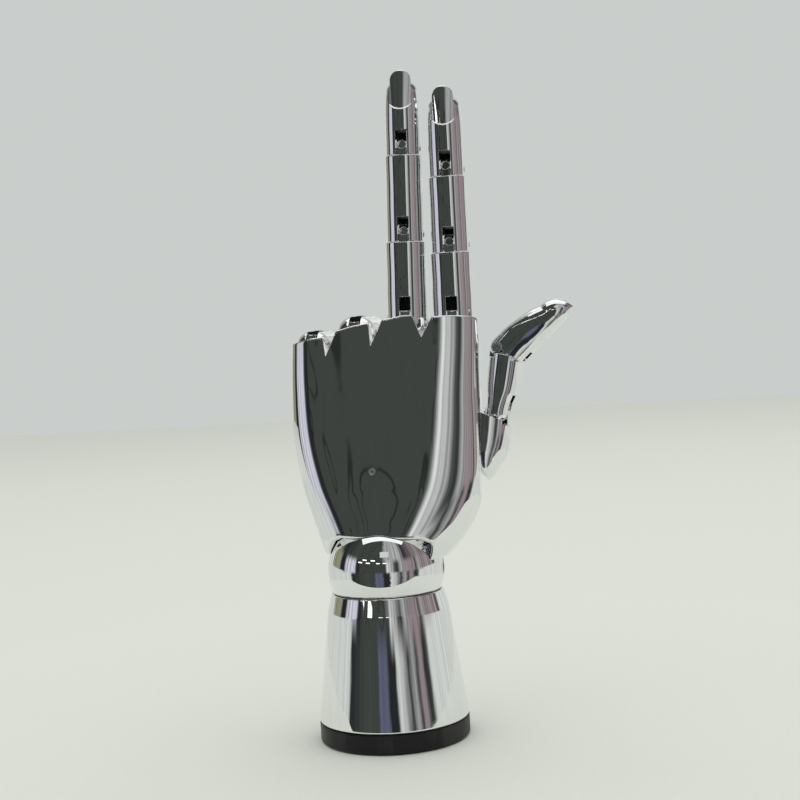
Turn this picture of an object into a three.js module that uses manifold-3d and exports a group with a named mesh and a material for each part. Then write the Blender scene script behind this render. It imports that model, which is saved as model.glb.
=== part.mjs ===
// Articulated hand mannequin on a forearm cone. Millimetres, +Z up, origin at the middle of the
// underside. The back of the hand faces -Y and the thumb points to +X.
import * as THREE from "three";
import { mergeVertices } from "three/addons/utils/BufferGeometryUtils.js";
import Module from "manifold-3d";

const wasm = await Module();
wasm.setup();

// Fits
const SLIDE = 0.35; // gap between faces that slide past each other
const RUN = 0.09; // radial gap round a pin or a screw shank
const SEAT = 0.3; // gap where a fixed piece sits in its pocket

// Foot and forearm
const FOOT_R = 30;
const FOOT_H = 7.9;
const FOOT_CHAMFER = 0.9;
const SPIGOT_H = 6;
const CONE_TOP_R = 24.3;
const CONE_TOP_Z = 51.6;
const RIM_R = 22.5;
const RIM_Z = 58.6;
const FOREARM_WALL = 2.6;
const DECK_Z = 36;

// Wrist
const BALL_R = 23.3;
const BALL_Z = 67.5;
const BOLT_R = 3;
const BOLT_HEAD_R = 5.5;
const BOLT_HEAD_H = 4;
const BOLT_DEPTH = 11; // how far the bolt enters the ball
const WASHER_R = 9;
const WASHER_H = 2.5;
const TONGUE_T = 5;
const TONGUE_HALF = 5.2;
const TONGUE_TOP = 44;
const BALL_SLOT_HALF = 13.5;
const PALM_LEAN = 3; // degrees, towards the thumb

// Palm sections from wrist to knuckles: height over the ball's middle, reach to the little-finger
// side, to the thumb side, to the back and to the palm side, and squareness
const PALM_SECTIONS = [
  [4.8, 23.9, 24.5, 19.4, 19, 2.1],
  [12, 26.4, 30.6, 18.6, 18.6, 2.2],
  [20, 29.2, 35.6, 17.4, 17.8, 2.3],
  [34, 33.8, 39.6, 15.4, 16.2, 2.5],
  [52, 37, 39.4, 13.6, 14.2, 2.7],
  [72, 37.8, 38.2, 12.2, 12.6, 2.9],
  [90, 37.6, 38, 11.3, 11.4, 3],
  [104, 37.4, 37.8, 10.8, 11, 3],
];
const KNUCKLE_PIN_DROP = 3.2; // knuckle pin below the rim
// Notches from the little finger's to the index finger's: shift from midway, reach to either side,
// depth under the lower rim
const NOTCHES = [
  { shift: -2, near: 1.1, far: 4.2, deep: 7 },
  { shift: -3, near: 0.8, far: 4.5, deep: 7.7 },
  { shift: -2.5, near: 3.6, far: 4.4, deep: 8.2 },
];
const ARCH_TOP = 13.6; // the palm's lower edge over the ball, front and back
const ARCH_HALF = 18.4;
const ARCH_FOOT = [24, 5];
const MARK_R = 1.2;
const MARK_AT = [-3, 39.8];

// Hinges
const SLOT_W = 4.5;
const LUG_R = 4.8;
const PIN_RISE = 2.4; // finger hinge pin above the seam
const SLOT_RISE = 9.9; // top of the slot above the seam
const KNUCKLE_SLOT_RISE = 7.3;
const COLLAR_WALL = 0.8;
const PALM_WALL = 2.2; // closes a slot on the palm side
const SHANK_R = 1.25;
const HEAD_R = 2.1;
const HEAD_H = 1.1;
const CROSS_W = 0.6;
const CROSS_L = 2.4;
const CROSS_H = 0.7;
const ROUNDNESS = 2.2; // of a finger's outline: 2 is an ellipse, more is squarer
const DEPTH_RATIO = 0.94; // front-to-back size of a finger over its width

// Flexion of a finger's three hinges, in degrees
const STRAIGHT = [0, 0, 0];
const FOLDED = [88, 85, 20];

// Fingers: place across the palm, rim height over the ball's middle and its slope, sideways lean in
// degrees, seam-to-seam lengths, widths of the three segments, flexion as posed
const FINGERS = {
  index: { at: 27.9, rim: 100.8, slope: 0, lean: -2.5, bend: STRAIGHT },
  middle: { at: 9.3, rim: 100.9, slope: 0.15, lean: -1.2, bend: STRAIGHT },
  ring: { at: -11.4, rim: 96.9, slope: 0.22, lean: 1, bend: FOLDED },
  little: { at: -29, rim: 92, slope: 0.18, lean: 2, bend: FOLDED },
};
const LONG = {
  index: [24.6, 29.8, 35.6],
  middle: [28.9, 34.1, 33.6],
  ring: [25.6, 30.4, 33],
  little: [19.6, 23.4, 28],
};
const WIDE = {
  index: [16.4, 15.2, 14.2],
  middle: [16.4, 15, 14],
  ring: [15.8, 14.5, 13.4],
  little: [13.8, 12.6, 11.7],
};
const TIP_DOME = 5.5;
const NAIL_OVER = 3; // the nail's end over the pulp's
const NAIL_LONG = 14.6;
const NAIL_HALF = 4.2;
const NAIL_DEPTH = 0.7; // the nail's face under the back of the finger
const NAIL_THICK = 3;
const NAIL_GAP = 0.2; // groove on either side of the nail
const NAIL_TILT = 6;
const CUTICLE_R = 8;

// Thumb
const THUMB_FACE_X = 38.2; // flat face on the palm's side
const THUMB_Y = 3;
const THUMB_SWIVEL_Z = 48;
const THUMB_PIVOT_R = 3;
const THUMB_PIVOT_L = 15;
const THUMB_AXIS_X = 44.9;
const THUMB_SEAM_Z = 60.2;
const THUMB_LONG = [25.5, 31.8];
const THUMB_WIDE = [12, 12];
const THUMB_DEEP = [12.4, 14.7];
const THUMB_BEND = [-10, -35];
const THUMB_FOOT_R = 4.8; // round lower end of the lower segment
const THUMB_MITRE = [22, 12]; // slant of the tip hinge's seam on the lower and the upper segment
const THUMB_PIN_SHIFT = 3.4; // tip hinge pin towards the palm from the lower segment's axis
const THUMB_KNOB_R = 4;
const THUMB_LUG_R = 3.4;
const THUMB_TIP_BACK = 9.6; // tip of the thumb, back from its hinge pin
const THUMB_NAIL_LONG = 17;
const THUMB_NAIL_DEPTH = 0.5;
const THUMB_BASE_BOTTOM = 35.5;
const THUMB_BASE_SLANT = 22; // degrees, of the base's top
const THUMB_BASE_MID = 3; // lowest point of the base, out from the palm's face
const THUMB_TURN = 78; // degrees, of the thumb's hinges about the vertical
const THUMB_DOME = 8.5;
const THUMB_CHEEK = 2.25; // wall of the base beside the lower segment

const deg = THREE.MathUtils.degToRad;
const chrome = new THREE.MeshStandardMaterial({ color: 0xe6e8ea, metalness: 1, roughness: 0.06 });
const black = new THREE.MeshStandardMaterial({ color: 0x101012, metalness: 0, roughness: 0.5 });
const steel = new THREE.MeshStandardMaterial({ color: 0xb9bcc0, metalness: 1, roughness: 0.3 });
const rubber = new THREE.MeshStandardMaterial({ color: 0x1a1a1a, metalness: 0, roughness: 0.9 });

// Booleans on three.js geometries
const FACET_TOL = 0.03; // slivers thinner than this are merged away

function solid(geometry) {
  const bare = geometry.clone();
  bare.deleteAttribute("normal");
  bare.deleteAttribute("uv");
  const merged = mergeVertices(bare, 1e-4);
  return new wasm.Manifold(
    new wasm.Mesh({
      numProp: 3,
      vertProperties: new Float32Array(merged.attributes.position.array),
      triVerts: new Uint32Array(merged.index.array),
    }),
  );
}

function geometryOf(made) {
  const m = made.simplify(FACET_TOL).getMesh();
  const g = new THREE.BufferGeometry();
  g.setAttribute("position", new THREE.BufferAttribute(new Float32Array(m.vertProperties), 3));
  g.setIndex(new THREE.BufferAttribute(new Uint32Array(m.triVerts), 1));
  return g;
}

const join = (...list) => geometryOf(list.map(solid).reduce((a, b) => a.add(b)));
const cut = (base, ...tools) => geometryOf(tools.map(solid).reduce((a, b) => a.subtract(b), solid(base)));
const common = (a, b) => geometryOf(solid(a).intersect(solid(b)));

// Facets: sides of fingers, of the palm, of the ball and of pins
const FINGER_SIDES = 16;
const PALM_SIDES = 36;
const BALL_SIDES = 28;
const PIN_SIDES = 10;

// Basic shapes
const box = (x0, x1, y0, y1, z0, z1) =>
  new THREE.BoxGeometry(x1 - x0, y1 - y0, z1 - z0).translate((x0 + x1) / 2, (y0 + y1) / 2, (z0 + z1) / 2);

// A rod along X from x0 to x1.
const rodX = (r, x0, x1, sides = PIN_SIDES) =>
  new THREE.CylinderGeometry(r, r, x1 - x0, sides).rotateZ(Math.PI / 2).translate((x0 + x1) / 2, 0, 0);

// A turned shape about Z from [radius, height] points that start and end on the axis, bottom first.
const turned = (points, sides = 44) =>
  new THREE.LatheGeometry(
    points.map(([r, z]) => new THREE.Vector2(r, z)),
    sides,
  ).rotateX(Math.PI / 2);

// Values between the rows of a table, on a smooth curve through them.
function smoothRow(rows, z) {
  let i = 0;
  while (i < rows.length - 2 && z > rows[i + 1][0]) i += 1;
  const [a, b] = [rows[i], rows[i + 1]];
  const before = rows[i - 1] ?? a;
  const after = rows[i + 2] ?? b;
  const h = b[0] - a[0];
  const t = (z - a[0]) / h;
  return a.map((value, k) => {
    const m0 = ((b[k] - before[k]) / (b[0] - before[0])) * h;
    const m1 = ((after[k] - a[k]) / (after[0] - a[0])) * h;
    const d = b[k] - value;
    return value + t * (m0 + t * (3 * d - 2 * m0 - m1 + t * (m0 + m1 - 2 * d)));
  });
}

// One closed section: a rounded outline with its own reach to each of the four sides. It is widest
// at the depth `mid`.
function section([z, left, right, back, front, square, mid = 0], sides) {
  const ring = [];
  for (let i = 0; i < sides; i += 1) {
    const angle = (2 * Math.PI * i) / sides;
    const c = Math.cos(angle);
    const s = Math.sin(angle);
    const x = (c > 0 ? right : left) * Math.sign(c) * Math.abs(c) ** (2 / square);
    const y = mid + (s > 0 ? front - mid : back + mid) * Math.sign(s) * Math.abs(s) ** (2 / square);
    ring.push([x, y, z]);
  }
  return ring;
}

// A closed skin over rings of points, with a fan on each end.
function skin(rings) {
  const sides = rings[0].length;
  const middle = (ring) => [0, 1, 2].map((k) => ring.reduce((sum, p) => sum + p[k], 0) / sides);
  const points = [...rings.flat(), middle(rings[0]), middle(rings.at(-1))];
  const low = rings.length * sides;
  const faces = [];
  for (let i = 0; i < sides; i += 1) {
    const j = (i + 1) % sides;
    const top = (rings.length - 1) * sides;
    faces.push(low, j, i, low + 1, top + i, top + j);
    for (let r = 0; r < rings.length - 1; r += 1) {
      const [a, b] = [r * sides, (r + 1) * sides];
      faces.push(a + i, a + j, b + j, a + i, b + j, b + i);
    }
  }
  const g = new THREE.BufferGeometry();
  g.setAttribute("position", new THREE.Float32BufferAttribute(points.flat(), 3));
  g.setIndex(faces);
  return g;
}

// A skin through smooth sections, with a dome on the end whose top stands `tipBack` behind the axis.
function loft(rows, steps, sides, domeHigh = 0, tipBack = 0) {
  const [first, last] = [rows[0][0], rows.at(-1)[0]];
  const rings = [];
  for (let i = 0; i <= steps; i += 1) {
    const z = first + ((last - first) * i) / steps;
    rings.push(section(smoothRow(rows, z), sides));
  }
  const domeSteps = domeHigh ? 4 : 0;
  for (let i = 1; i <= domeSteps; i += 1) {
    const angle = (0.96 * Math.PI * i) / (2 * domeSteps);
    const c = Math.cos(angle);
    const [, left, right, back, front, square, mid = 0] = rows.at(-1);
    const z = last + domeHigh * Math.sin(angle);
    const towards = (y) => -tipBack + (y + tipBack) * c;
    const reach = [left * c, right * c, -towards(-back), towards(front)];
    rings.push(section([z, ...reach, square, towards(mid)], sides));
  }
  return skin(rings);
}

// A straight round-ish bar along Z with half-width a and half-depth b.
const bar = (a, b, z0, z1, sides = FINGER_SIDES) =>
  loft([z0, z1].map((z) => [z, a, a, b, b, ROUNDNESS]), 1, sides);

// The room that a turning segment end needs in the member below it, about the hinge pin.
// halfWide and halfDeep are the segment's own; the palm side is open over openWide, down to openDeep.
function socket(halfWide, halfDeep, openWide, backWall, up, openDeep = halfDeep) {
  const a = halfWide + SLIDE;
  const b = halfDeep + SLIDE;
  const hole = bar(a, b, -b, up);
  const open = box(-openWide, openWide, 0, 40, -openDeep - SLIDE, up);
  const lower = box(-a, a, 0, 40, -b, up);
  const tools = [hole, lower, open];
  if (!backWall) tools.push(box(-a, a, -40, 0, -b, up));
  return join(...tools);
}

// The lug on the member below: a plate with a round end about the pin, flush with the back.
function lug(halfDeep, down, round = LUG_R) {
  const t = (SLOT_W - 2 * SLIDE) / 2;
  const back = -(halfDeep - 0.4);
  const shape = new THREE.Shape();
  shape.moveTo(round, down);
  shape.lineTo(round, 0);
  shape.absarc(0, 0, round, 0, Math.PI / 2, false);
  shape.quadraticCurveTo(back, round, back, 0.6);
  shape.lineTo(back, down);
  const plate = new THREE.ExtrudeGeometry(shape, { depth: 2 * t, bevelEnabled: false, curveSegments: 5 })
    .translate(0, 0, -t)
    .rotateY(Math.PI / 2)
    .rotateX(Math.PI / 2);
  return cut(plate, rodX(SHANK_R + RUN, -20, 20));
}

// A dome turned about X, with the outline of a segment: it can turn in a socket of that outline.
function turningDome(halfWide, halfDeep) {
  const points = [];
  for (let i = 0; i <= FINGER_SIDES / 2; i += 1) {
    const angle = (2 * Math.PI * i) / FINGER_SIDES;
    const x = -halfWide * Math.sign(Math.cos(angle)) * Math.abs(Math.cos(angle)) ** (2 / ROUNDNESS);
    points.push([halfDeep * Math.abs(Math.sin(angle)) ** (2 / ROUNDNESS), x]);
  }
  points[0][0] = 0;
  points.at(-1)[0] = 0;
  return turned(points, FINGER_SIDES).rotateY(Math.PI / 2);
}

// The lower end of a segment, about its own pin: round end, slot for the lug, screw holes. A segment
// wider than its round end sits on the collar below with its back. Above the lug the slot is closed
// on the palm side.
function hingeEnd(body, halfWide, halfDeep, { slotTop, lugRound = LUG_R, headSide, shoulder, palmWall }) {
  const wide = halfWide + 5;
  const above = [box(-wide, wide, -40, 40, -0.05, 200)];
  if (shoulder) above.push(box(-wide, wide, -40, 0, SEAT - PIN_RISE, 1));
  const keep = join(turningDome(halfWide, halfDeep), ...above);
  const slotHalf = SLOT_W / 2;
  const slot = join(
    box(-slotHalf, slotHalf, -40, 40, -40, lugRound + SLIDE),
    box(-slotHalf, slotHalf, -40, palmWall, 0, slotTop),
  );
  const blind = halfWide - 1.2;
  const shank = headSide > 0 ? rodX(SHANK_R + RUN, -blind, wide) : rodX(SHANK_R + RUN, -wide, blind);
  const seat = halfWide - HEAD_H - SEAT;
  const head = headSide > 0 ? rodX(HEAD_R + RUN, seat, wide) : rodX(HEAD_R + RUN, -wide, -seat);
  return cut(common(body, keep), slot, shank, head);
}

// A cross-head screw lying along X on the hinge axis.
function hingeScrew(halfWide, headSide) {
  const face = halfWide - 0.15;
  const shank = rodX(SHANK_R, -(halfWide - 1.2 - SEAT), face - HEAD_H + 0.1);
  const head = rodX(HEAD_R, face - HEAD_H, face);
  const slots = [
    box(face - CROSS_H, face + 1, -CROSS_L / 2, CROSS_L / 2, -CROSS_W / 2, CROSS_W / 2),
    box(face - CROSS_H, face + 1, -CROSS_W / 2, CROSS_W / 2, -CROSS_L / 2, CROSS_L / 2),
  ];
  const made = cut(join(shank, head), ...slots);
  return headSide > 0 ? made : made.rotateZ(Math.PI);
}

const root = new THREE.Group();

function add(group, name, geometry, material) {
  const made = new THREE.Mesh(geometry, material);
  made.name = name;
  group.add(made);
  return made;
}

// A group whose origin is a hinge pin and whose own X is the pin's axis.
function hinge(parent, name, at, lean, bend) {
  const g = new THREE.Group();
  g.name = name;
  g.position.set(...at);
  g.rotation.set(-deg(bend), deg(lean), 0, "YXZ");
  parent.add(g);
  return g;
}

// Foot and forearm
const cavityR = (z) => FOOT_R + ((CONE_TOP_R - FOOT_R) * (z - FOOT_H)) / (CONE_TOP_Z - FOOT_H) - FOREARM_WALL;
const forearmLow = FOOT_H + SEAT;
const spigotTop = FOOT_H + SPIGOT_H;
add(
  root,
  "base_foot",
  turned([
    [0, 0],
    [FOOT_R - FOOT_CHAMFER, 0],
    [FOOT_R, FOOT_CHAMFER],
    [FOOT_R, FOOT_H],
    [cavityR(FOOT_H) - SEAT, FOOT_H],
    [cavityR(spigotTop) - SEAT, spigotTop],
    [0, spigotTop],
  ]),
  black,
);
const forearmOuter = turned([
  [0, forearmLow],
  [FOOT_R, forearmLow],
  [CONE_TOP_R, CONE_TOP_Z],
  [RIM_R, RIM_Z],
  [0, RIM_Z],
]);
const forearmCavity = turned([
  [0, forearmLow - 1],
  [cavityR(forearmLow - 1), forearmLow - 1],
  [cavityR(DECK_Z), DECK_Z],
  [0, DECK_Z],
]);
const sphere = (r) => new THREE.SphereGeometry(r, BALL_SIDES, BALL_SIDES / 2).rotateX(Math.PI / 2);
const ballSeat = sphere(BALL_R + SLIDE).translate(0, 0, BALL_Z);
const boltHole = turned([
  [0, DECK_Z - 1],
  [BOLT_R + SLIDE, DECK_Z - 1],
  [BOLT_R + SLIDE, BALL_Z],
  [0, BALL_Z],
], 24);
add(root, "forearm_shell", cut(forearmOuter, forearmCavity, ballSeat, boltHole), chrome);

// Wrist ball, held down by a bolt through the deck
const ballGroup = new THREE.Group();
ballGroup.name = "wrist_ball_frame";
ballGroup.position.z = BALL_Z;
root.add(ballGroup);
const ballHole = turned([
  [0, -BALL_R - 1],
  [BOLT_R + RUN, -BALL_R - 1],
  [BOLT_R + RUN, BOLT_DEPTH - BALL_R + SEAT],
  [0, BOLT_DEPTH - BALL_R + SEAT],
], 24);
const ballBody = sphere(BALL_R);
const tongueRoom = TONGUE_T / 2 + SLIDE;
const ballSlot = box(-tongueRoom, tongueRoom, -BALL_SLOT_HALF, BALL_SLOT_HALF, -TONGUE_HALF - 1, BALL_R + 1);
const pivotHalf = 17;
const pivotHole = rodX(SHANK_R * 1.4 + RUN, -pivotHalf, BALL_R + 1);
const pivotFace = BALL_R - 0.6;
const pivotSeat = rodX(HEAD_R * 1.4 + RUN, pivotFace - HEAD_H * 1.4 - SEAT, BALL_R + 1, 24);
add(ballGroup, "wrist_ball", cut(ballBody, ballHole, ballSlot, pivotHole, pivotSeat), chrome);
const washerTop = DECK_Z - BALL_Z - SLIDE;
const washerLow = washerTop - WASHER_H;
const headTop = washerLow - SEAT;
add(
  ballGroup,
  "wrist_bolt",
  turned([
    [0, headTop - BOLT_HEAD_H],
    [BOLT_HEAD_R, headTop - BOLT_HEAD_H],
    [BOLT_HEAD_R, headTop],
    [BOLT_R, headTop],
    [BOLT_R, BOLT_DEPTH - BALL_R],
    [0, BOLT_DEPTH - BALL_R],
  ], 24),
  steel,
);
const disc = (r, z0, z1, sides) => turned([[0, z0], [r, z0], [r, z1], [0, z1]], sides);
const washerHole = disc(BOLT_R + SEAT, washerLow - 1, washerTop + 1, 24);
const washerDisc = disc(WASHER_R, washerLow, washerTop, 32);
add(ballGroup, "friction_washer", cut(washerDisc, washerHole), rubber);
const pivotScrew = join(
  rodX(SHANK_R * 1.4, -pivotHalf + SEAT, pivotFace - HEAD_H),
  rodX(HEAD_R * 1.4, pivotFace - HEAD_H * 1.4, pivotFace, 24),
);
add(
  ballGroup,
  "wrist_pivot_screw",
  cut(
    pivotScrew,
    box(pivotFace - CROSS_H, pivotFace + 1, -CROSS_L * 0.7, CROSS_L * 0.7, -CROSS_W * 0.7, CROSS_W * 0.7),
    box(pivotFace - CROSS_H, pivotFace + 1, -CROSS_W * 0.7, CROSS_W * 0.7, -CROSS_L * 0.7, CROSS_L * 0.7),
  ),
  steel,
);

// Palm, in a frame that leans about the ball's middle
const palm = new THREE.Group();
palm.name = "palm_frame";
palm.rotation.y = deg(PALM_LEAN);
ballGroup.add(palm);

const names = Object.keys(FINGERS);
const tools = [];
const lugs = [];
for (const name of names) {
  const f = FINGERS[name];
  const halfWide = WIDE[name][0] / 2;
  const halfDeep = halfWide * DEPTH_RATIO;
  const pose = new THREE.Matrix4()
    .makeRotationY(deg(f.lean))
    .setPosition(f.at, 0, f.rim - KNUCKLE_PIN_DROP);
  tools.push(socket(halfWide, halfDeep, halfWide + 2.2, true, 40).applyMatrix4(pose));
  lugs.push(lug(halfDeep, -halfDeep - 3).applyMatrix4(pose));
}

// Everything above the scalloped rim goes, in one prism through the knuckles.
const rimShape = new THREE.Shape();
const order = names.slice().sort((a, b) => FINGERS[a].at - FINGERS[b].at);
rimShape.moveTo(-60, 120);
rimShape.lineTo(-60, FINGERS.little.rim - 4);
order.forEach((name, i) => {
  const { at, rim, slope } = FINGERS[name];
  const half = WIDE[name][0] / 2;
  const midway = (k) => (FINGERS[order[k]].at + FINGERS[order[k + 1]].at) / 2 + NOTCHES[k].shift;
  const from = i > 0 ? midway(i - 1) + NOTCHES[i - 1].far : at - half;
  const to = i < NOTCHES.length ? midway(i) - NOTCHES[i].near : at + half - 1;
  rimShape.lineTo(from, rim + slope * (from - at) - 0.5);
  rimShape.lineTo(at, rim);
  rimShape.lineTo(to, rim + slope * (to - at) - 0.4);
  if (i === NOTCHES.length) return;
  rimShape.lineTo(midway(i), Math.min(rim, FINGERS[order[i + 1]].rim) - NOTCHES[i].deep);
});
rimShape.lineTo(60, FINGERS.index.rim - 7);
rimShape.lineTo(60, 120);
const overRim = new THREE.ExtrudeGeometry(rimShape, { depth: 120, bevelEnabled: false })
  .rotateX(Math.PI / 2)
  .translate(0, 60, 0);

// The lower edge is a flat arch over the ball, seen from the front and the back.
const archShape = new THREE.Shape();
archShape.moveTo(ARCH_FOOT[0] + 2, -5);
archShape.lineTo(...ARCH_FOOT);
archShape.lineTo(ARCH_HALF + 1, ARCH_TOP - 1.4);
archShape.lineTo(ARCH_HALF - 2, ARCH_TOP);
archShape.lineTo(2 - ARCH_HALF, ARCH_TOP);
archShape.lineTo(-ARCH_HALF - 1, ARCH_TOP - 1.4);
archShape.lineTo(-ARCH_FOOT[0], ARCH_FOOT[1]);
archShape.lineTo(-ARCH_FOOT[0] - 2, -5);
const arch = new THREE.ExtrudeGeometry(archShape, { depth: 120, bevelEnabled: false })
  .rotateX(Math.PI / 2)
  .translate(0, 60, 0);

const palmBody = loft(PALM_SECTIONS, 11, PALM_SIDES);
const ballRoom = sphere(BALL_R + SLIDE);
const tonguePocket = box(
  -TONGUE_T / 2 - SEAT,
  TONGUE_T / 2 + SEAT,
  -TONGUE_HALF - SEAT,
  TONGUE_HALF + SEAT,
  0,
  TONGUE_TOP + SEAT,
).rotateY(-deg(PALM_LEAN));
const mark = new THREE.CylinderGeometry(MARK_R, MARK_R, 20, 16).translate(MARK_AT[0], -24, MARK_AT[1]);
const thumbCut = box(THUMB_FACE_X, 80, -40, 40, 20, 200);
const pivotBore = rodX(THUMB_PIVOT_R + RUN, THUMB_FACE_X - THUMB_PIVOT_L / 2 - SEAT, 60, 24).translate(
  0,
  THUMB_Y,
  THUMB_SWIVEL_Z,
);
const palmCut = cut(palmBody, overRim, arch, ...tools, ballRoom, tonguePocket, mark, thumbCut, pivotBore);
add(palm, "palm_shell", join(palmCut, ...lugs), chrome);
const tongueShape = new THREE.Shape();
tongueShape.moveTo(TONGUE_HALF, TONGUE_TOP);
tongueShape.lineTo(-TONGUE_HALF, TONGUE_TOP);
tongueShape.lineTo(-TONGUE_HALF, 0);
tongueShape.absarc(0, 0, TONGUE_HALF, Math.PI, 2 * Math.PI, false);
const tongueBlank = { depth: TONGUE_T, bevelEnabled: false, curveSegments: 10 };
const tongue = new THREE.ExtrudeGeometry(tongueShape, tongueBlank)
  .translate(0, 0, -TONGUE_T / 2)
  .rotateY(Math.PI / 2)
  .rotateX(Math.PI / 2);
add(ballGroup, "wrist_tongue", cut(tongue, rodX(SHANK_R * 1.4 + RUN, -20, 20)), steel);

// A nail: a plate with the finger's own curve and a round end that stands over the pulp.
function nailPlate(long, half, back) {
  const low = long - NAIL_LONG - 1;
  const row = (z) => {
    const face = back - NAIL_DEPTH - Math.tan(deg(NAIL_TILT)) * (z - low - 1);
    return [z, half, half, face, NAIL_THICK - face, ROUNDNESS, 0];
  };
  const sheet = loft([row(low), row(long)], 2, 2 * FINGER_SIDES);
  const end = new THREE.CylinderGeometry(NAIL_HALF, NAIL_HALF, 40, 24).translate(0, 0, long - NAIL_HALF);
  return common(sheet, join(end, box(-NAIL_HALF, NAIL_HALF, -20, 20, low, long - NAIL_HALF)));
}

// The pocket that the nail lies in, with a round lower end for the cuticle.
function nailPocket(long, back) {
  const half = NAIL_HALF + NAIL_GAP;
  const disc = new THREE.CylinderGeometry(CUTICLE_R, CUTICLE_R, 20, 40).translate(0, -10, CUTICLE_R);
  const bed = join(disc, box(-half, half, -20, 0, CUTICLE_R, 40));
  return common(bed, box(-half, half, -20, 1, -1, 40))
    .rotateX(-deg(NAIL_TILT))
    .translate(0, NAIL_DEPTH + NAIL_GAP - back + 0.6, long - NAIL_LONG);
}

// One segment in its own frame: pin at the origin, next pin at the height of `long`. `foot` is the
// half-width of its round end, `knob` that end's radius, `footBack` the reach to the back there and
// `shift` how far the axis stands behind the pin. A last segment ends in a dome, shaped by `tip`.
function segment(part) {
  const { low, long, wide, shift = 0, mitre = 0, tip = FINGER_TIP, next } = part;
  const a = wide / 2;
  const b = part.deep ? part.deep / 2 : a * DEPTH_RATIO;
  const foot = part.foot ?? a;
  const round = part.knob ?? foot * DEPTH_RATIO;
  const footBack = part.footBack ?? b + shift;
  const row = (z, across, deep, palmDeep = deep, mid = 0) => [
    z,
    a * across,
    a * across,
    b * deep + shift,
    b * palmDeep - shift,
    ROUNDNESS,
    -mid,
  ];
  const footRows = [-round, low * 0.3].map((z) => [z, a, a, footBack, part.knob ?? b, ROUNDNESS, 0]);
  const end = { ...part, shoulder: foot < a, palmWall: b - shift - PALM_WALL };
  if (!next) {
    const top = long - tip.over;
    const pulp = row(long * 0.6, 0.98, ...tip.middle);
    const rows = [...footRows, row(low, 1, 1), pulp, row(top - tip.dome, tip.across, ...tip.end)];
    const body = loft(rows, 6, FINGER_SIDES, tip.dome, tip.back);
    const facet = box(-wide, wide, -20, 0, 0, 40).translate(0, tip.flat - pulp[3], long - tip.flatLong);
    const nailed = tip.over
      ? join(cut(body, nailPocket(long, pulp[3])), nailPlate(long, a, pulp[3]))
      : cut(body, facet);
    const made = hingeEnd(nailed, foot, round, end);
    return mitre ? cut(made, box(-40, 40, -40, 0, -40, 0).rotateX(-deg(mitre))) : made;
  }
  const rim = long - PIN_RISE;
  const nextFoot = next.foot ?? next.wide / 2;
  const nextRound = next.knob ?? nextFoot * DEPTH_RATIO;
  const across = Math.max(nextFoot + SLIDE + COLLAR_WALL, a);
  const deep = Math.max(nextFoot * DEPTH_RATIO + SLIDE + COLLAR_WALL, b);
  const rimRow = [rim, across, across, deep, Math.max(deep, (next.shift ?? 0) + nextRound), ROUNDNESS, 0];
  const rows = [...footRows, row(low, 1, 1), row(long * 0.55, 0.985, 0.985), rimRow];
  const body = loft(rows, 5, FINGER_SIDES);
  const nextDeep = next.foot ? (next.wide / 2) * DEPTH_RATIO : nextRound;
  const room = socket(nextFoot, nextRound, next.foot ? 20 : nextFoot + SLIDE, !next.mitre, 30, nextDeep);
  const plate = lug(nextRound, -nextDeep - 3, next.lugRound);
  const over = box(-40, 40, -40, 0, -SLIDE, 40).rotateX(deg(next.mitre ?? 0));
  const place = (g) => g.translate(0, next.shift ?? 0, long);
  const cleared = next.mitre ? cut(body, place(room), place(over)) : cut(body, place(room));
  return hingeEnd(join(cleared, place(plate)), foot, round, end);
}

// Fingertip shapes: reach to the back and to the palm side and place of the widest line, at 0.6 of
// the length and where the dome starts, then the dome and the nail
const FINGER_TIP = {
  middle: [0.98, 0.99, 0],
  across: 0.92,
  end: [0.88, 0.9, 0],
  dome: TIP_DOME,
  back: 0,
  over: NAIL_OVER,
};
const THUMB_TIP = {
  middle: [1.02, 0.74, 4],
  across: 0.9,
  end: [1, 0.5, 5.5],
  dome: THUMB_DOME,
  back: THUMB_TIP_BACK,
  over: 0,
  flat: THUMB_NAIL_DEPTH,
  flatLong: THUMB_NAIL_LONG,
};

const screwNames = ["knuckle", "middle", "tip"];
for (const name of names) {
  const f = FINGERS[name];
  const halves = WIDE[name].map((wide) => wide / 2);
  const feet = halves.map((half, i) => (i ? Math.min(half, halves[i - 1] - SLIDE - COLLAR_WALL) : half));
  let at = [f.at, 0, f.rim - KNUCKLE_PIN_DROP];
  let parent = palm;
  ["proximal", "middle", "distal"].forEach((part, i) => {
    const first = i === 0;
    const group = hinge(parent, `${name}_${part}_frame`, at, first ? f.lean : 0, f.bend[i]);
    const seam = first ? KNUCKLE_PIN_DROP : -PIN_RISE;
    const long = seam + LONG[name][i] + (i < 2 ? PIN_RISE : 0);
    const slotTop = seam + (first ? KNUCKLE_SLOT_RISE : SLOT_RISE);
    const shape = segment({
      low: slotTop + 2,
      long,
      wide: WIDE[name][i],
      foot: feet[i],
      slotTop,
      headSide: 1,
      next: i < 2 && { wide: WIDE[name][i + 1], foot: feet[i + 1] },
    });
    add(group, `${name}_${part}`, shape, chrome);
    add(group, `${name}_${screwNames[i]}_screw`, hingeScrew(feet[i], 1), steel);
    parent = group;
    at = [0, 0, long];
  });
}

// Thumb: a base that swivels on the palm's side, then two hinged segments turned a quarter round Z
const thumbSwivel = new THREE.Group();
thumbSwivel.name = "thumb_base_frame";
thumbSwivel.position.set(THUMB_FACE_X, THUMB_Y, THUMB_SWIVEL_Z);
palm.add(thumbSwivel);
const thumbTurn = new THREE.Group();
thumbTurn.position.set(THUMB_AXIS_X - THUMB_FACE_X, 0, THUMB_SEAM_Z + PIN_RISE - THUMB_SWIVEL_Z);
thumbTurn.rotation.z = deg(THUMB_TURN);
thumbSwivel.add(thumbTurn);

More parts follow.
